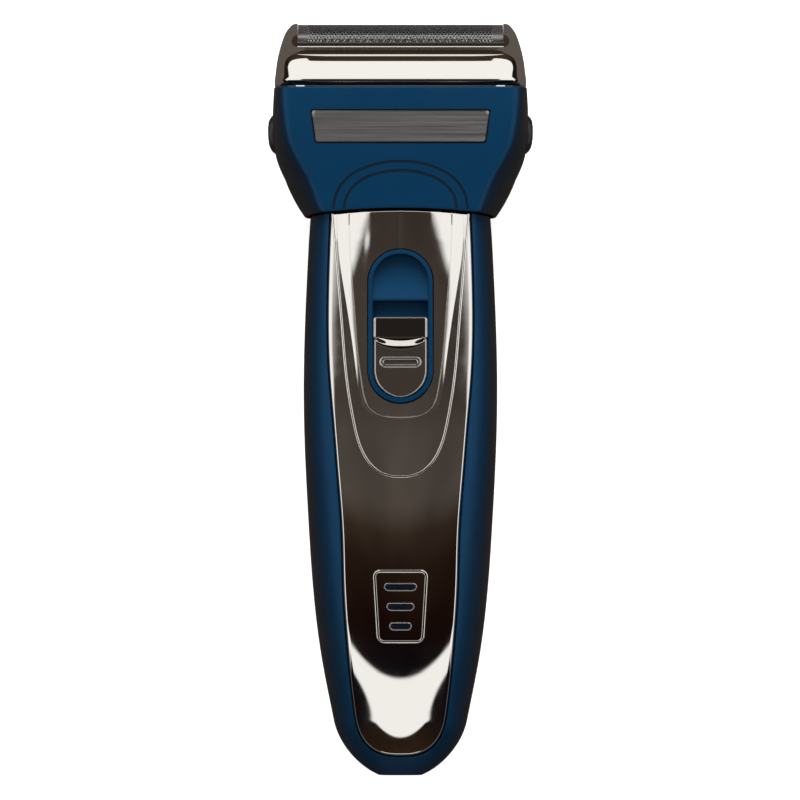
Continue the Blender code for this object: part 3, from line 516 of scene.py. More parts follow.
def normal_of(surface):
    """The upward normal of a height function, as a function of a point."""
    def at(point):
        x, y = point[0], point[1]
        step = 0.05
        dx = (surface(x + step, y) - surface(x - step, y)) / (2 * step)
        dy = (surface(x, y + step) - surface(x, y - step)) / (2 * step)
        return Vector((-dx, -dy, 1))

    return at


# ---------------------------------------------------------------- materials
def new_material(name):
    made = bpy.data.materials.new(name)
    made.use_nodes = True
    tree = made.node_tree
    return made, tree, tree.nodes["Principled BSDF"]


def wire(tree, node, **inputs):
    """Link or set a node's inputs, each from a socket or to a plain value."""
    for key, value in inputs.items():
        socket = node.inputs[key.replace("_", " ")]
        if isinstance(value, bpy.types.NodeSocket):
            tree.links.new(value, socket)
        else:
            socket.default_value = value
    return node


def add_node(tree, kind, **inputs):
    return wire(tree, tree.nodes.new(kind), **inputs)


def noise(tree, scale, detail=3.0, stretch=(1, 1, 1)):
    """Noise over the piece's own coordinates, in metres; stretch squeezes it along an axis."""
    place = add_node(tree, "ShaderNodeTexCoord").outputs["Object"]
    mapping = add_node(tree, "ShaderNodeMapping", Scale=stretch, Vector=place)
    vector = mapping.outputs["Vector"]
    return add_node(tree, "ShaderNodeTexNoise", Scale=scale, Detail=detail, Vector=vector).outputs["Fac"]


def ramp(tree, factor, low, high, start=0.3, end=0.7):
    """Map a factor between two values or two colours."""
    node = add_node(tree, "ShaderNodeValToRGB", Fac=factor)
    node.color_ramp.elements[0].position = start
    node.color_ramp.elements[1].position = end
    for element, value in zip(node.color_ramp.elements, (low, high)):
        element.color = (*value, 1) if isinstance(value, tuple) else (value, value, value, 1)
    return node.outputs["Color"]


def mixed(tree, factor, low, high):
    """Mix two colours by a factor."""
    mix = tree.nodes.new("ShaderNodeMix")
    mix.data_type = "RGBA"
    return wire(tree, mix, Factor=factor, A=low, B=high).outputs["Result"]


def bump(tree, height, strength, distance):
    node = add_node(tree, "ShaderNodeBump", Strength=strength, Distance=distance, Height=height)
    return node.outputs["Normal"]


def satin_blue():
    """Dark metallic blue paint with fine flakes and orange peel, with painted shade and sheen: charcoal
    where it faces sideways.
    """
    made, tree, shader = new_material("satin_blue_paint")
    tone = ramp(tree, noise(tree, 9000, 2), (0.0, 0.029, 0.08), (0.0, 0.04, 0.102))
    # Painted shade and sheen: the base colour goes from blue to charcoal as the surface turns from facing
    # up to facing sideways.
    facing = add_node(tree, "ShaderNodeNewGeometry").outputs["Normal"]
    split = add_node(tree, "ShaderNodeSeparateXYZ", Vector=facing)
    upward = ramp(tree, split.outputs["Z"], 0.0, 1.0, 0.3, 0.93)
    wire(
        tree, shader, Base_Color=mixed(tree, upward, (0.01, 0.014, 0.02, 1), tone),
        Roughness=ramp(tree, noise(tree, 120, 4), 0.36, 0.44),
        Normal=bump(tree, noise(tree, 2600, 3), 0.12, 0.00003),
        Metallic=0.3, Specular_IOR_Level=0.22,
    )
    return made


def chrome(name, tint=(0.78, 0.76, 0.74), rough=(0.035, 0.065)):
    """Plating over moulded plastic: nearly a mirror, with a faint waviness and hairline haze."""
    made, tree, shader = new_material(name)
    wire(
        tree, shader, Base_Color=(*tint, 1), Metallic=1,
        Roughness=ramp(tree, noise(tree, 300, 5), *rough),
        Normal=bump(tree, noise(tree, 90, 2), 0.05, 0.0001),
    )
    return made


def brushed(name, color, grain, rough=(0.3, 0.5), strength=0.35, metallic=1):
    """Metal brushed along one axis: streaks in its colour, gloss and height."""
    made, tree, shader = new_material(name)
    streaks = noise(tree, 2600, 6, grain)
    low = tuple(c * 0.72 for c in color)
    wire(
        tree, shader, Base_Color=ramp(tree, streaks, low, color), Metallic=metallic,
        Roughness=ramp(tree, streaks, *rough), Normal=bump(tree, streaks, strength, 0.00002),
    )
    return made


def moulded(name, color, rough, grain=3500, strength=0.2, coat=0.0):
    """Moulded plastic with a fine spark-eroded texture."""
    made, tree, shader = new_material(name)
    darker = tuple(c * 0.8 for c in color)
    wire(
        tree, shader, Base_Color=ramp(tree, noise(tree, 400, 4), darker, color),
        Roughness=ramp(tree, noise(tree, 900, 4), rough - 0.05, rough + 0.05),
        Normal=bump(tree, noise(tree, grain, 3), strength, 0.00003), Coat_Weight=coat,
    )
    return made


BLUE = satin_blue()
CHROME = chrome("dark_chrome")
FRAME_CHROME = chrome("foil_frame_chrome", (0.8, 0.785, 0.76), (0.04, 0.075))
SLIDER_CHROME = chrome("slider_chrome", (0.7, 0.68, 0.66))
STEEL = brushed("foil_steel", (0.72, 0.73, 0.75), (0.15, 1, 1), (0.16, 0.26), 0.1)
FOIL_STEEL = brushed("foil_mesh_steel", (0.33, 0.335, 0.34), (0.15, 1, 1), (0.22, 0.3), 0.05, 0.92)
PLATE = brushed("brushed_name_plate", (0.4, 0.385, 0.4), (0.012, 1, 1), (0.32, 0.48), 0.4)
BLACK = moulded("black_button_plastic", (0.014, 0.014, 0.016), 0.36)
SOFT_BLACK = moulded("black_moulding", (0.02, 0.02, 0.022), 0.5, 2500, 0.3)
LENS = moulded("smoked_blue_lens", (0.002, 0.005, 0.014), 0.12, 1200, 0.04, 0.4)
# Painted shade: a near-black navy for the strips sunk in the bottoms of the head's engraved arcs.
ARC_GROOVE_SHADE = moulded("painted_arc_groove_shade", (0.0005, 0.0035, 0.009), 0.7, 2000, 0.2)
NYLON = moulded("white_nylon", (0.72, 0.72, 0.68), 0.45, 2200, 0.25)
BOARD = moulded("solder_mask", (0.015, 0.13, 0.045), 0.35, 1500, 0.3, 0.2)
WRAP = moulded("shrink_sleeve", (0.03, 0.26, 0.1), 0.3, 700, 0.2, 0.3)
RUBBER = moulded("rubber_seal", (0.018, 0.018, 0.018), 0.8, 1800, 0.5)
LAMP = moulded("clear_blue_epoxy", (0.08, 0.22, 0.7), 0.15, 900, 0.05, 0.5)
TURNED = brushed("turned_steel", (0.62, 0.61, 0.59), (1, 0.1, 1), (0.22, 0.36), 0.2)
BRASS = brushed("brass_contact", (0.72, 0.5, 0.2), (1, 0.15, 1), (0.25, 0.4), 0.2)

NODE_MATERIALS = {
    TURNED: [
        "case_screw_1", "case_screw_2", "case_screw_3", "case_screw_4", "board_switch", "battery_nub",
        "battery_strip_plus", "battery_strip_minus", "motor_can", "motor_shaft", "eccentric_pin",
        "button_spring_1", "button_spring_2", "cutter_spring",
    ],
    STEEL: ["cutter_blades"],
    SOFT_BLACK: [
        "board_switch_knob", "smoothing_capacitor", "inner_chassis", "neck_plate", "charge_socket",
        "head_chassis", "switch_slider", "cutter_carrier", "foil_end_1", "foil_end_2",
    ],
    NYLON: ["motor_end_cap", "eccentric_cam", "drive_bridge"],
    BOARD: ["circuit_board"],
    LAMP: ["charge_lamp_1", "charge_lamp_2", "charge_lamp_3"],
    WRAP: ["battery_cell"],
    BRASS: ["motor_terminal_1", "motor_terminal_2", "socket_pin"],
    RUBBER: ["shaft_seal"],
}


def paint_nodes():
    """Give the CAD's own nodes that stay visible their finishes."""
    for finish, names in NODE_MATERIALS.items():
        for name in names:
            slots = nodes[name].data.materials
            slots.clear()
            slots.append(finish)


def piece(obj, finish, body, slot, *replaced):
    """Give a piece its finish and its body, and hide the CAD nodes that it stands for. The slot is not
    used.
    """
    obj.data.materials.clear()
    obj.data.materials.append(finish)
    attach(obj, body)
    if replaced:
        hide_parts(*replaced)
    return obj


# ---------------------------------------------------------------- handle
def reach_to(line, end_y, ray):
    """How far along a ray an outline lies: straight across, or round the end."""
    y, angle, _ = ray
    if angle is None:
        return line(y)
    low, high = 0.0, 40.0
    c, s = math.cos(angle), math.sin(angle)
    for _ in range(40):
        middle = (low + high) / 2
        inside = y + middle * s > end_y and middle * c < line(y + middle * s)
        low, high = (middle, high) if inside else (low, middle)
    return low


def fine_start(top, end, count):
    """Stations that crowd at the neck, where the pieces' edges are rounded."""
    crowd = [top - d for d in (0, 0.03, 0.07, 0.12, 0.18, 0.25, 0.33, 0.42, 0.52)]
    return crowd + list(np.linspace(top - 0.7, end, count))


def neck_round(y, top, radius=0.55):
    """How far a rounded edge has fallen at y, below its neck end at top."""
    t = min(1.0, max(0.0, y - top + radius) / radius)
    return radius * (1 - math.sqrt(1 - t * t)) if t < 1 else radius


def spine_rays(top, straight, around, spine_end=SPINE_END):
    """(y on the spine, angle or None, side) from the top right, round the end, to the top left."""
    down = [(y, None, 1) for y in fine_start(top, spine_end, straight)]
    turn = [(spine_end, t, 1) for t in np.linspace(0, -math.pi / 2, around)][1:]
    right = down + turn
    return right + [(y, t, -1) for y, t, _ in reversed(right[:-1])]


def ray_point(ray, reach):
    y, angle, side = ray
    if angle is None:
        return side * reach, y
    return side * reach * math.cos(angle), y + reach * math.sin(angle)


def ray_sheet(name, rays, rows, angle=35):
    """An open sheet with one column per ray; rows are functions of a ray giving a point."""
    return orient(loft(name, [[row(ray) for ray in rays] for row in rows], angle, closed=False))


def shell_outer(y):
    return handle_half_width(y) * end_cap(y)


def recess_width(y):
    return panel_half_width(y + GAP) + GAP


def socket_hole():
    return turned("socket_hole", [(SOCKET_RADIUS, -90), (SOCKET_RADIUS, -70)], (0, 0, SOCKET_Z), "Y", 40)


def make_front_shell():
    """One ring of points per ray: outside from the panel to the parting line, then back inside."""
    rays = spine_rays(NECK_Y, 130, 70)
    shares = [1 - (1 - v) ** 3.2 for v in np.linspace(0, 0.985, 36)]
    rings = []
    for ray in rays:
        inner = reach_to(recess_width, PANEL_END_Y - GAP, ray)
        outer = reach_to(shell_outer, END_Y, ray)

        def at(share, drop=0.0, back=0.0, extra=0.0):
            reach = inner + extra + (outer - inner - extra) * share
            x, y = ray_point(ray, reach)
            z = handle_surface(x, y) - drop
            x, y = ray_point(ray, reach - back * share)
            return bent(x, y, max(z, PARTING_Z + GAP / 2))

        ring = [at(0, RECESS_DEPTH), at(0, 0.3), at(0, 0.1, 0, 0.05), at(0, 0.02, 0, 0.15)]
        ring += [at(share, 0, 0, 0.3) for share in shares]
        ring.append(bent(*ray_point(ray, outer), PARTING_Z + GAP / 2))
        ring.append(bent(*ray_point(ray, outer - SKIN), PARTING_Z + GAP / 2))
        ring += [at(share, RECESS_DEPTH, SKIN) for share in (0.97, 0.9, 0.75, 0.5, 0.25)]
        rings.append(ring)
    shell = loft("front_shell_skin", rings, 50)
    cut(shell, socket_hole())
    return piece(shell, BLUE, "handle", "body_blue", "front_shell")


def make_rear_shell():
    stations = list(END_CAP_Y - END_CAP_LENGTH * np.sin(np.linspace(1.19, 0, 26)))
    stations[0] = END_Y
    stations += list(np.linspace(END_CAP_Y, NECK_Y, 90))[1:]
    rings = []
    for y in stations:
        across = handle_half_width(y) * end_cap(y)
        depth = (handle_back(y) - PARTING_Z) * end_cap(y)
        ring = []
        for t in np.linspace(0, math.pi, 97):
            x, z = round_box(t, BACK_POWER)
            height = PARTING_Z - GAP / 2 + min(0, depth * z + GAP / 2)
            height = 0.5 * (height + math.sqrt(height * height + 0.02))
            ring.append(bent(across * x, y, height))
        rings.append(ring)
    end = [(x * 0.02, y, PARTING_Z + (z - PARTING_Z) * 0.02 - 0.6) for x, y, z in rings[0]]
    shell = orient(loft("rear_shell_skin", [end] + rings, 50, closed=False), -1)
    thicken(shell, SKIN)
    holes = [socket_hole()]
    for i in range(4):
        low, high = span(f"case_screw_{i + 1}")
        middle = (low + high) / 2
        profile = [(3.1, -3), (2.45, 4.4), (2.45, 5.6)]
        holes.append(turned("screw_hole", profile, (middle.x, middle.y, 0), "Z", 40))
    cut(shell, *holes)
    return piece(shell, BLUE, "handle", "body_blue", "rear_shell")


def surround_outline(grow):
    radius = SURROUND_RADIUS + grow
    outline = stadium(radius, -SURROUND_HALF - grow, SURROUND_HALF + grow, 28)
    return [(x, y + SWITCH_Y) for x, y in outline]


def make_panel():
    rays = spine_rays(PANEL_TOP_Y, 190, 70)
    edge = {ray: reach_to(panel_half_width, PANEL_END_Y, ray) for ray in rays}

    def row(share, inset, drop):
        def at(ray):
            x, y = ray_point(ray, max(edge[ray] - inset, 0) * share)
            drop_here = drop + neck_round(y, PANEL_TOP_Y, 0.4)
            return bent(x, y, panel_surface(x, y) - drop_here)

        return at

    rows = [row(v, PANEL_EDGE, 0) for v in np.linspace(0, 1, 30)]
    for t in np.linspace(0.3, math.pi / 2, 5):
        rows.append(row(1, PANEL_EDGE * (1 - math.sin(t)), 0.4 * (1 - math.cos(t))))
    rows += [row(1, 0, PANEL_THICKNESS)]
    return weld(ray_sheet("front_panel_plating", rays, rows, 50), 2e-6)


# ---------------------------------------------------------------- relief on the panel
PLATE_INNER = [(-8, 7.1), (-0.75, 7.75), (5, 8.63), (20, 10.1), (31.6, 10.97), (40, 11.15)]
PLATE_OUTER = [(-8, 7.7), (3.1, 9.05), (14.4, 10.55), (24, 12.06), (32, 13.15), (40, 13.2)]
BEAD_LINE = [(-17, 7.6), (-6.8, 9.52), (1.17, 10.97), (16.3, 12.46), (29.7, 13.57), (40, 14.4)]
WINDOW_CORNERS = [(5.5, -36.35), (4.75, -51.35)]
WINDOW_ROUND = 1.2


plate_inner = rounded_end(spline(PLATE_INNER), 2.5, PLATE_INNER_END)
plate_outer = rounded_end(spline(PLATE_OUTER), 2.5, PLATE_OUTER_END)
bead_line = rounded_end(spline(BEAD_LINE), BEAD_SPINE_END, BEAD_END)


def plate_height(x, y):
    """Height of the raised plate above the panel; its top corners fall away."""
    rise = 0.07 + 0.0105 * (y + 4)
    corner = smooth((y - 16) / 20) * (max(0.0, abs(x) - 5) / 6) ** 2
    return rise - 0.2 * corner - 0.0012 * max(0.0, y - 24) ** 2


def make_plate():
    """The raised plate around the switch, with its sloping rim."""
    rays = spine_rays(PLATE_TOP_Y, 120, 60, PLATE_SPINE_END)
    inner = {ray: reach_to(plate_inner, PLATE_INNER_END, ray) for ray in rays}
    outer = {ray: reach_to(plate_outer, PLATE_OUTER_END, ray) for ray in rays}

    def row(share, lift, groove=0.0):
        def at(ray):
            reach = inner[ray] * share if share <= 1 else outer[ray]
            x, y = ray_point(ray, reach)
            height = plate_height(x, y) if lift is None else lift
            height -= groove + neck_round(y, PLATE_TOP_Y, 0.4)
            return bent(x, y, panel_surface(x, y) + height)

        return at

    rows = [row(v, None) for v in np.linspace(0.04, 0.965, 22)]
    rows += [row(0.972, None, 0.1), row(0.985, None, 0.1), row(0.99, None), row(1, None)]
    edge = ray_sheet("switch_plate", rays, rows + [row(2, 0.03), row(2, -0.25)], 20)
    thicken(edge, 0.5)
    cut(edge, prism("plate_window", surround_outline(0.2), 20, 45))
    return piece(edge, CHROME, "handle", "chrome_trim")


def half_round(width, height, sink=0.15, steps=8):
    arc = [
        (width / 2 * math.cos(t), height * math.sin(t))
        for t in np.linspace(0, math.pi, steps + 1)
    ]
    return arc + [(-width / 2, -sink), (width / 2, -sink)]


def panel_bead(name, outline, width, height, closed=True):
    """A chrome bead on the panel along an outline."""
    path = [bent(x, y, panel_surface(x, y)) for x, y in outline]
    profile = half_round(width, height)
    bead = sweep(name, path, profile, normal_of(panel_surface), closed)
    piece(bead, CHROME, "handle", "chrome_trim")


def make_beads():
    rays = spine_rays(BEAD_TOP_Y, 90, 50, BEAD_SPINE_END)
    line = [ray_point(ray, reach_to(bead_line, BEAD_END, ray)) for ray in rays]
    panel_bead("panel_bead", line, 0.52, 0.11, closed=False)
    window = rounded_corners(*WINDOW_CORNERS, WINDOW_ROUND, 9)
    panel_bead("charge_window_frame", resampled(window, 160), 0.66, 0.15)
    for i, (y, half) in enumerate(CHARGE_BARS):
        rim = resampled(pill(y, half - 0.06, BAR_HALF_HEIGHT), 90)
        panel_bead(f"charge_bar_rim_{i + 1}", rim, 0.2, 0.05)


def resampled(points, count):
    """Evenly spaced points round a closed outline."""
    loop = np.array(points + [points[0]], float)
    steps = np.hypot(*np.diff(loop, axis=0).T)
    along = np.concatenate([[0], np.cumsum(steps)])
    wanted = np.linspace(0, along[-1], count, endpoint=False)
    xs = np.interp(wanted, along, loop[:, 0])
    ys = np.interp(wanted, along, loop[:, 1])
    return list(zip(xs, ys))


def finish_panel():
    panel = make_panel()
    thicken(panel, 1.2)
    holes = [prism("panel_window", surround_outline(0.2), 20, 45)]
    for y, half in CHARGE_BARS:
        holes.append(prism("bar_hole", pill(y, half - 0.1, BAR_HALF_HEIGHT - 0.04), 24, 45))
    cut(panel, *holes)
    piece(panel, CHROME, "handle", "chrome_trim", "front_panel")


def make_panel_bed():
    """The floor of the shell's recess, under the panel."""
    def width(y):
        return recess_width(y) + 0.5

    def top(x, y):
        return panel_surface(x, y) - BED_TOP

    def bottom(x, y):
        return panel_surface(x, y) - BED_BOTTOM

    stations = [PANEL_END_Y - GAP, -75.5, -75.0, -74.2, -73.0, -71.5, -69.5]
    stations += list(np.linspace(-67, NECK_Y - 0.4, 30))
    bed = slab("panel_bed", stations, width, top, bottom, 14, True)
    guide_way = box("guide_way", (-4.6, 4.6), (-51.2, -36.6), (24, 45))
    cut(bed, prism("bed_window", surround_outline(0.25), 20, 45), guide_way)
    piece(bed, BLUE, "handle", "body_blue")


def make_light_guide():
    bars = []
    for y, half in CHARGE_BARS:
        bar = prism("bar", pill(y, half - 0.18, BAR_HALF_HEIGHT - 0.12), 28.8, panel_surface(0, y) - 0.18)
        bars.append(bevel(bar, 0.12))
    guide = box("charge_light_guide", (-4.2, 4.2), (-50.8, -37.0), (28.2, 29.2))
    join(guide, *bars)
    piece(guide, LENS, "handle", "smoked_lens", "light_guide")


# ---------------------------------------------------------------- switch
SWITCH_Z = handle_surface(0, SWITCH_Y) + PANEL_PROUD
SWITCH_PLACE = Matrix.Translation(Vector((0, SWITCH_Y, SWITCH_Z)) * MM)
SWITCH_PLACE = SWITCH_PLACE @ Matrix.Rotation(-SWITCH_TILT, 4, "X")


def in_switch_frame(obj):
    obj.data.transform(SWITCH_PLACE)
    return obj


def scoop_depth(x, y):
    t = (y - CHANNEL_TOP) / (SURROUND_HALF - 1.0 - CHANNEL_TOP)
    return -0.75 - 1.5 * math.sin(math.pi * min(1, max(0, t)) * 0.62) + 0.006 * x * x


def make_surround():
    outline = stadium(SURROUND_RADIUS, -SURROUND_HALF, SURROUND_HALF, 28)
    inner = stadium(CHANNEL_RADIUS + 0.1, -SURROUND_HALF + 0.9, SURROUND_HALF - 0.9, 28)
    surround = prism("switch_bezel", outline, -4.2, 0.32)
    bevel(surround, 0.22, 4)
    channel_outline = stadium(CHANNEL_RADIUS, SLIDER_BOTTOM - 0.25, CHANNEL_TOP, 28, square_top=0.4)
    channel = prism("channel", channel_outline, -2.7, 3)
    slot = prism("stem_slot", stadium(2.3, -13.0, -1.0), -6, -2)

    def scoop_width(y):
        rise = max(0.0, y - SURROUND_HALF + SURROUND_RADIUS)
        return math.sqrt(max(0.0, CHANNEL_RADIUS**2 - rise**2))

    stations = list(np.linspace(CHANNEL_TOP + 0.4, 9.5, 12))
    stations += list(9.45 + CHANNEL_RADIUS * np.sin(np.linspace(0.05, 1.55, 22)))
    scoop = slab("thumb_scoop", stations, scoop_width, lambda x, y: 3.0, scoop_depth, 24)
    shelf = prism("rim_step", inner, 0.05, 3)
    cut(surround, channel, slot, scoop, shelf)
    in_switch_frame(surround)
    piece(surround, BLUE, "handle", "body_blue", "switch_surround")


def cap_height(x, y):
    """The cap rises towards its thumb edge and dips below it."""
    if y > CAP_RIDGE_Y:
        return 0.35 + 0.55 * (SLIDER_TOP - y) / (SLIDER_TOP - CAP_RIDGE_Y)
    dip = (CAP_RIDGE_Y - y) / max(0.35, 2.6 * math.sqrt(max(0.0, 1 - (x / 5.2) ** 2)))
    return 0.05 + (0.85 * (1 + math.cos(math.pi * dip)) / 2 if dip < 1 else 0.0)


def make_cap():
    def width(y):
        fall = max(0.0, SLIDER_BOTTOM + SLIDER_RADIUS - y)
        close = max(0.0, y - SLIDER_TOP + 0.5)
        square = 0.5 - math.sqrt(max(0.0, 0.25 - close**2))
        return math.sqrt(max(0.0, SLIDER_RADIUS**2 - fall**2)) - square

    stations = [
        SLIDER_BOTTOM + SLIDER_RADIUS * (1 - math.cos(t)) for t in np.linspace(0.1, math.pi / 2, 24)
    ]
    stations += list(np.linspace(-9.0, -5.1, 8)) + list(np.linspace(-4.95, CAP_RIDGE_Y, 18))
    stations += list(np.linspace(-2.2, SLIDER_TOP - 0.5, 8)) + [SLIDER_TOP - 0.2, SLIDER_TOP - 0.05]
    cap = slab("switch_slider_cap", stations, width, cap_height, lambda x, y: -0.9, 20)
    bar = bevel(prism("grip_bar", pill(GRIP_Y, 3.75, 0.62), -0.5, 0.27), 0.16, 4)
    join(cap, bar)
    bevel(cap, 0.08, 3, 28)
    in_switch_frame(cap)
    piece(cap, SLIDER_CHROME, "switch", "chrome_trim", "switch_cap")

    right = [(width(y) - 0.28, y) for y in stations[1:]]
    left = [(0.28 - width(y), y) for y in reversed(stations[1:])]
    trims = (
        ("switch_slider_rim", resampled(right + left, 220), 0.26, 0.09),
        ("switch_slider_ring", resampled(pill(GRIP_Y, 4.3, 1.02), 120), 0.34, 0.1),
    )
    for name, outline, across, height in trims:
        path = [(x, y, cap_height(x, y)) for x, y in outline]
        trim = sweep(name, path, half_round(across, height), lambda p: Vector((0, 0, 1)), closed=True)
        in_switch_frame(trim)
        piece(trim, SLIDER_CHROME, "switch", "chrome_trim")


# ---------------------------------------------------------------- head
def bezier(start, control, end, shares):
    return [
        tuple(
            (1 - t) ** 2 * a + 2 * t * (1 - t) * b + t * t * c
            for a, b, c in zip(start, control, end)
        )
        for t in shares
    ]


def head_front_quarter(y, inset, face, crease, side):
    """Points from the middle of the head's front face, over its crease, to the widest line."""
    width = head_half_width(y) - inset
    edge = head_crease(y) - inset * 0.7
    middle = head_front(y) - inset
    flat = edge - CREASE_ROUND
    points = [
        (flat * t, middle - HEAD_CROWN * (flat * t / edge) ** 2)
        for t in np.linspace(0, 1, face + 1)
    ]
    corner = (edge, middle - HEAD_CROWN)
    fall = (edge + CREASE_ROUND * 0.5, corner[1] - CREASE_ROUND * 0.5 * SIDE_FALL)
    points += bezier(points[-1], corner, fall, np.linspace(0, 1, crease + 1)[1:])
    knee = (width, fall[1] - (width - fall[0]) * SIDE_FALL)
    points += bezier(fall, knee, (width, AXIS_Z), np.linspace(0, 1, side + 1)[1:])
    return points


def head_ring(y, inset, face=14, crease=7, side=24, back=70):
    quarter_points = head_front_quarter(y, inset, face, crease, side)
    front = quarter_points[::-1] + [(-x, z) for x, z in quarter_points[1:]]
    depth = AXIS_Z - head_back(y) - inset
    width = head_half_width(y) - inset
    rear = []
    for t in np.linspace(math.pi, 2 * math.pi, back + 1)[1:-1]:
        x, z = round_box(t, head_back_power(y))
        rear.append((width * x, AXIS_Z + depth * z))
    return [bent(x, y, z) for x, z in front + rear]


def oval(a, b, steps=48, power=2.6):
    return [(a * u, b * v) for u, v in (round_box(t, power) for t in full_turn(steps))]


def plate_outline(grow):
    """The name plate's outline, wider towards the foil."""
    low, high = NAME_PLATE_Y[0] - grow, NAME_PLATE_Y[1] + grow
    half = [NAME_PLATE_HALF + NAME_PLATE_FLARE * (y - NAME_PLATE_Y[0]) + grow for y in (high, low)]
    return rounded_corners((half[0], high), (half[1], low), 0.5, 7)


def make_head():
    low = HEAD_Y - 0.12
    stations = [low, low + 0.12] + list(np.linspace(low + 0.3, HEAD_TOP_Y - 0.2, 90)) + [HEAD_TOP_Y]
    insets = [0.25, 0.06] + [0.0] * 90 + [0.15]
    rings = [head_ring(y, inset) for y, inset in zip(stations, insets)]
    shell = loft("head_skin", rings, 50, caps=False)

    def face_out(bm):
        bmesh.ops.recalc_face_normals(bm, faces=bm.faces)
        middle = max(bm.faces, key=lambda f: f.calc_center_median().z)
        if middle.normal.z < 0:
            bmesh.ops.reverse_faces(bm, faces=bm.faces)

    edit_mesh(shell, face_out)
    thicken(shell, SKIN)
    holes = [prism("plate_bed", plate_outline(0.3), 28, 45)]
    for side in (-1, 1):
        outline = [(BUTTON_Y + a, AXIS_Z + b) for a, b in oval(4.75, 3.6)]
        holes.append(prism("button_hole", outline, *sorted((side * 20, side * 35)), plane="YZ"))
    head_up = normal_of(head_surface)
    circle = [(ARC_RADIUS * math.cos(t), ARC_RADIUS * math.sin(t)) for t in full_turn(12)]
    for reach, height in HEAD_ARCS:
        path = []
        for t in np.linspace(0, math.pi, 120):
            x, y = reach * math.cos(t), HEAD_Y - 0.05 + (height - 0.35) * math.sin(t) ** 0.9
            path.append(bent(x, y, head_surface(x, y)))
        holes.append(sweep("arc_groove", path, circle, head_up))
        # Painted shade: a thin near-black strip sunk in the bottom of each engraved groove, so that the
        # groove reads dark.
        thread = [(a * 0.62, b * 0.3 - 0.16) for a, b in circle]
        seam = sweep(f"arc_groove_shade_{len(holes)}", path[2:-2], thread, head_up)
        piece(seam, ARC_GROOVE_SHADE, "head", "body_blue")
    cut(shell, *holes)
    piece(shell, BLUE, "head", "body_blue", "head_housing")


def make_name_plate():
    def surface(x, y):
        return head_surface(x, y) - 0.12

    tray = prism("name_plate_recess", plate_outline(0.45), 28.8, 30.15)
    piece(tray, SOFT_BLACK, "head", "black_plastic")
    middle = sum(NAME_PLATE_Y) / 2
    bm = bmesh.new()
    rows = []
    for shrink, drop in ((0.0, 0.75), (0.0, 0.12), (0.12, 0.0)):
        rows.append([
            bm.verts.new((
                x - math.copysign(shrink, x),
                y - math.copysign(shrink, y - middle),
                surface(x, y) - drop,
            ))
            for x, y in resampled(plate_outline(0.0), 240)
        ])
    wall(bm, rows)
    bm.faces.new(rows[-1])
    plate = finish_mesh(bm, "brushed_plate")
    piece(plate, PLATE, "head", "brushed_plate", "name_plate")


def make_buttons():
    """Each rocker bulges out of its hole, with a sloping upper end, a rounded lower one, and ribs."""
    for side, name in ((-1, "left"), (1, "right")):
        def block(kind, x, y, z):
            return box(kind, tuple(sorted((side * x[0], side * x[1]))), y, z)

        rings = []
        for x, low, high, inset in BUTTON_PROFILE:
            middle, half = (low + high) / 2, (high - low) / 2
            shape = oval(half, 3.35 - inset * 0.6, 56)
            rings.append([(side * x, middle + a, AXIS_Z + b) for a, b in shape])
        button = loft(f"release_button_{name}_cap", rings, 50)
        cut(button, *(block("rib", (27.75, 30), y, (AXIS_Z - 2.2, AXIS_Z + 2.2)) for y in BUTTON_RIB_Y))
        join(button, block("flange", *BUTTON_FLANGE), block("hook", *BUTTON_HOOK))
        piece(button, BLACK, f"button_{name}", "black_plastic", f"release_button_{name}")


# ---------------------------------------------------------------- foil cassette
def frame_ring(y, inset=0.0, drop=0.0, steps=200):
    points = []
    for t in full_turn(steps):
        x, z = round_box(t, FRAME_POWER)
        height = z * (frame_half_depth(y) - inset - drop)
        points.append(((frame_half_width(y) - inset) * x, AXIS_Z + height))
    return points


def crisp_frame_edges(bm):
    """Keep the roof's and the lip's edges crisp, so that the wide faces beside them shade flat."""
    for edge in bm.edges:
        if len(edge.link_faces) != 2 or edge.calc_face_angle() < math.radians(9):
            continue
        start, end = (vert.co / MM for vert in edge.verts)
        middle = (start + end) / 2
        across = abs((end - start).normalized().x) > 0.9
        at_horn = abs(abs(middle.x) - HORN_INNER) < 0.3
        on_lip = abs(middle.y - FRAME_Y - FRAME_LIP) < 0.25
        on_roof = middle.y > ROOF[0][1] - 0.15
        if (across and (on_lip or on_roof)) or (at_horn and on_roof):
            edge.smooth = False


def make_frame():
    lip_y = FRAME_Y + FRAME_LIP

    def at(y, inset=0.0, drop=0.0, shape=None):
        """A ring at y, with the outline of another station where shape gives one."""
        return [(x, y, z) for x, z in frame_ring(shape or y, inset, drop)]

    rings = [at(61.4, 2.7, 0.4, lip_y), at(FRAME_Y, 2.7, 0.4, lip_y)]
    rings += [at(FRAME_Y, 0, FRAME_LIP_DROP, lip_y), at(lip_y - 0.1, 0, 0.05, lip_y), at(lip_y + 0.12)]
    rings += [at(y) for y in np.linspace(lip_y + 0.5, 79.6, 40)]
    rings += [at(79.85, 0.1), at(79.96, 0.4), at(80.0, 0.9)]
    body = loft("foil_frame_plating", rings, 30)
    cutters = []
    for side in (-1, 1):
        outline = [(y, AXIS_Z + side * z) for z, y in ROOF] + [(85, AXIS_Z), (85, AXIS_Z + side * 20)]
        cutters.append(prism("roof", outline, -HORN_INNER, HORN_INNER, plane="YZ"))
    hollows = (
        ("foil_slot", HORN_INNER - 0.02, (60, 84), 4.75),
        ("cavity", 21.4, (50, 70.5), 8.5),
        ("hook_notches", 30, (50, 64.4), 4.8),
    )
    for name, x, y, z in hollows:
        cutters.append(box(name, (-x, x), y, (AXIS_Z - z, AXIS_Z + z)))
    cut(body, *cutters)
    bevel(body, 0.08, 1, 33)
    edit_mesh(body, crisp_frame_edges)
    piece(body, FRAME_CHROME, "cassette", "chrome_trim", "foil_frame")


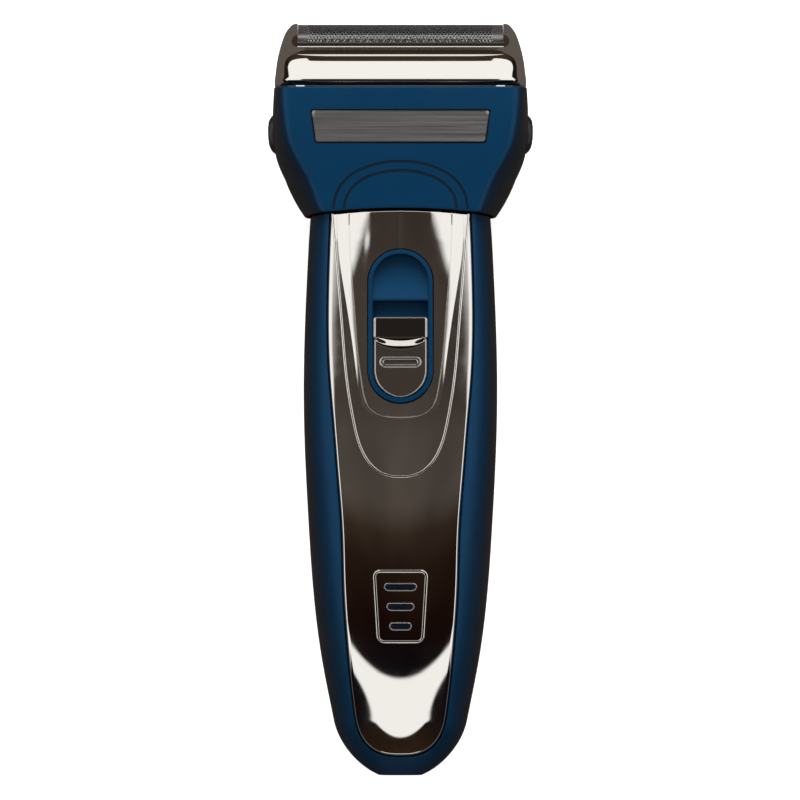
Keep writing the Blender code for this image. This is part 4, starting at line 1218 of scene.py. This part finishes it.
def arch_point(s, radius):
    """(y, z) at distance s along the foil's arch from its crown, on a given radius."""
    quarter_length = FOIL_RADIUS * math.pi / 2
    if abs(s) > quarter_length:
        return FOIL_CENTRE_Y - (abs(s) - quarter_length), AXIS_Z + math.copysign(radius, s)
    angle = s / FOIL_RADIUS
    return FOIL_CENTRE_Y + radius * math.cos(angle), AXIS_Z + radius * math.sin(angle)


def make_foil():
    """The foil: staggered round holes over its arch, and plain borders."""
    bm = bmesh.new()

    def vert(x, s, radius=FOIL_RADIUS):
        y, z = arch_point(s, radius)
        return bm.verts.new((x, y, z))

    columns = int(2 * HOLE_FIELD_HALF / HOLE_PITCH)
    rows = HOLE_ROWS
    cell_x = HOLE_PITCH / math.sqrt(3)
    cell_s = cell_x * HOLE_ROW / (HOLE_PITCH * math.sqrt(3) / 2)
    cell = [(math.sin(t) * cell_x, math.cos(t) * cell_s) for t in np.arange(6) * math.pi / 3]
    outer = []
    for a, b in zip(cell, cell[1:] + cell[:1]):
        outer += [a, ((a[0] + b[0]) / 2, (a[1] + b[1]) / 2)]
    twelve = np.arange(12) * math.pi / 6
    inner = [(math.sin(t) * HOLE_RADIUS, math.cos(t) * HOLE_RADIUS) for t in twelve]
    for row in range(rows):
        s = (row - (rows - 1) / 2) * HOLE_ROW
        shift = HOLE_PITCH / 2 * (row % 2)
        for column in range(columns - row % 2):
            x = (column - (columns - 1) / 2) * HOLE_PITCH + shift
            wall(bm, [[vert(x + a, s + b) for a, b in ring] for ring in (outer, inner)])
    bmesh.ops.remove_doubles(bm, verts=bm.verts, dist=1e-4)

    field_x = columns / 2 * HOLE_PITCH
    field_s = rows / 2 * HOLE_ROW
    foot_s = FOIL_RADIUS * math.pi / 2 + FOIL_CENTRE_Y - FOIL_FOOT_Y
    low = FOIL_RADIUS - 0.012

    def strip(x_low, x_high, stations):
        wall(bm, [[vert(x_low, s, low), vert(x_high, s, low)] for s in stations], closed=False)

    all_stations = np.linspace(-foot_s, foot_s, 90)
    strip(-FOIL_HALF, 0.3 - field_x, all_stations)
    strip(field_x - 0.3, FOIL_HALF, all_stations)
    strip(-field_x, field_x, np.linspace(-foot_s, 0.12 - field_s, 12))
    strip(-field_x, field_x, np.linspace(field_s - 0.12, foot_s, 12))
    for face in bm.faces:
        face.normal_update()
        centre = face.calc_center_median()
        out = Vector((0, centre.y - FOIL_CENTRE_Y if centre.y > FOIL_CENTRE_Y else 0, centre.z - AXIS_Z))
        if face.normal.dot(out) < 0:
            face.normal_flip()
    foil = thicken(mesh_object(bm, "perforated_foil"), 0.1)
    piece(foil, FOIL_STEEL, "cassette", "foil_steel", "foil")


# ---------------------------------------------------------------- surroundings
def make_floor():
    """Pale paper that the camera sees bright, and that lights and mirrors the part only dimly."""
    corners = [(FLOOR_HALF * a, FLOOR_HALF * b, 0) for a, b in ((-1, -1), (1, -1), (1, 1), (-1, 1))]
    mesh = bpy.data.meshes.new("studio_floor")
    mesh.from_pydata(corners, [], [(0, 1, 2, 3)])
    floor = add_object("studio_floor", mesh)
    floor.location.z = -0.0002
    made, tree, shader = new_material("studio_paper")
    wire(
        tree, shader, Roughness=1, Specular_IOR_Level=0, Emission_Color=(1, 1, 1, 1), Emission_Strength=0.7,
        Base_Color=ramp(tree, noise(tree, 40, 3), (0.86, 0.86, 0.86), (0.88, 0.88, 0.88)),
    )
    spill = add_node(tree, "ShaderNodeBsdfDiffuse", Color=(0.1, 0.085, 0.075, 1))
    seen = add_node(tree, "ShaderNodeLightPath").outputs["Is Camera Ray"]
    blend = tree.nodes.new("ShaderNodeMixShader")
    for socket, value in zip(blend.inputs, (seen, spill.outputs[0], shader.outputs[0])):
        tree.links.new(value, socket)
    wire(tree, tree.nodes["Material Output"], Surface=blend.outputs[0])
    mesh.materials.append(made)


def light_world():
    """A dim room with softboxes.

    Each softbox is a region of the sky, told by the X and Y parts of a direction.
    """
    world = bpy.data.worlds.new("studio")
    bpy.context.scene.world = world
    world.use_nodes = True
    tree = world.node_tree
    direction = add_node(tree, "ShaderNodeTexCoord").outputs["Generated"]
    dx, dy, dz = add_node(tree, "ShaderNodeSeparateXYZ", Vector=direction).outputs

    def step(operation, *values, clamp=False):
        node = tree.nodes.new("ShaderNodeMath")
        node.operation = operation
        node.use_clamp = clamp
        for socket, value in zip(node.inputs, values):
            if isinstance(value, bpy.types.NodeSocket):
                tree.links.new(value, socket)
            else:
                socket.default_value = value
        return node.outputs[0]

    def above(value, edge, soft=0.02):
        return step("MULTIPLY_ADD", value, 1 / soft, 0.5 - edge / soft, clamp=True)

    def below(value, edge, soft=0.02):
        return step("MULTIPLY_ADD", value, -1 / soft, 0.5 + edge / soft, clamp=True)

    def region(*edges):
        whole = edges[0]
        for edge in edges[1:]:
            whole = step("MULTIPLY", whole, edge)
        return whole

    side = step("ABSOLUTE", dx)
    dx2 = step("MULTIPLY", dx, dx)
    dy2 = step("MULTIPLY", dy, dy)
    slant = step("MULTIPLY_ADD", side, 0.4, dy)
    inner = step("MULTIPLY_ADD", dx2, 0.6, dy2)
    spread = step("MINIMUM", step("MULTIPLY", dx2, 3.5), step("MULTIPLY", side, 0.97))
    outer = step("ADD", dy2, spread)
    up = above(dz, 0.3)
    lamp_x = step("MULTIPLY_ADD", dx, 1 / LAMP_HALF_X, -LAMP_X / LAMP_HALF_X)
    lamp_y = step("MULTIPLY_ADD", dy, 1 / LAMP_HALF_Y, -LAMP_Y / LAMP_HALF_Y)
    lamp = step("ADD", step("MULTIPLY", lamp_x, lamp_x), step("MULTIPLY", lamp_y, lamp_y))
    boxes = [
        region(above(dy, 0.62), below(dy, 0.83), up),  # beyond the foil
        region(above(side, 0.22), above(slant, 0.27, 0.03), up),  # two beside the head
        region(above(side, 0.6), below(side, 0.9), above(dy, -0.5), up),  # two beside the handle
        region(below(dy, 0), above(inner, 0.37), below(outer, 0.81), up),  # a crescent at the end
        region(below(dy, -0.955), below(side, 0.2), above(dz, 0), below(dz, 0.13)),  # a low strip
        region(below(lamp, 1.0, 0.9), up),  # the small lamp
    ]
    light = boxes[0]
    for other in boxes[1:]:
        light = step("MAXIMUM", light, other)

    room = add_node(tree, "ShaderNodeValToRGB", Fac=step("MULTIPLY_ADD", dy, 0.5, 0.5))
    stops = room.color_ramp
    for stop, color in zip(stops.elements, ((0.03, 0.016, 0.009, 1), (0.05, 0.03, 0.018, 1))):
        stop.color = color
    for height, color in ROOM_TONES:
        stops.elements.new((height + 1) / 2).color = (*color, 1)
    clouds = add_node(tree, "ShaderNodeTexNoise", Scale=3.5, Vector=direction)
    dim = step("MULTIPLY_ADD", clouds.outputs["Fac"], 1.4, 0.3)
    scaled = tree.nodes.new("ShaderNodeVectorMath")
    scaled.operation = "SCALE"
    wire(tree, scaled, Vector=room.outputs["Color"], Scale=dim)
    sky = mixed(tree, light, scaled.outputs[0], (1.12, 1.11, 1.08, 1))
    wire(tree, tree.nodes["Background"], Color=sky)


def light_key():
    """Broad soft light from beyond the head, and a weaker one from above."""
    for name, tilt, spread, strength in SOFT_LIGHTS:
        data = bpy.data.lights.new(name, "SUN")
        data.energy = strength
        data.angle = math.radians(spread)
        lamp = add_object(name, data)
        lamp.rotation_euler = (-math.radians(tilt), 0, 0)
        lamp.visible_glossy = False


def make_camera():
    """A long lens straight above the part; VIEW_WIDTH is what it covers."""
    data = bpy.data.cameras.new("camera")
    data.sensor_width = 36
    data.lens = 36 * CAMERA_DISTANCE / VIEW_WIDTH
    data.clip_end = 10
    camera = add_object("camera", data)
    camera.location = (-0.0001, -0.0001, CAMERA_DISTANCE + 0.015)
    bpy.context.scene.camera = camera


paint_nodes()
make_front_shell()
make_rear_shell()
finish_panel()
make_panel_bed()
make_plate()
make_beads()
make_light_guide()
make_surround()
make_cap()
make_head()
make_name_plate()
make_buttons()
make_frame()
make_foil()
make_floor()
light_world()
light_key()
make_camera()
bpy.context.scene.view_settings.view_transform = "Standard"
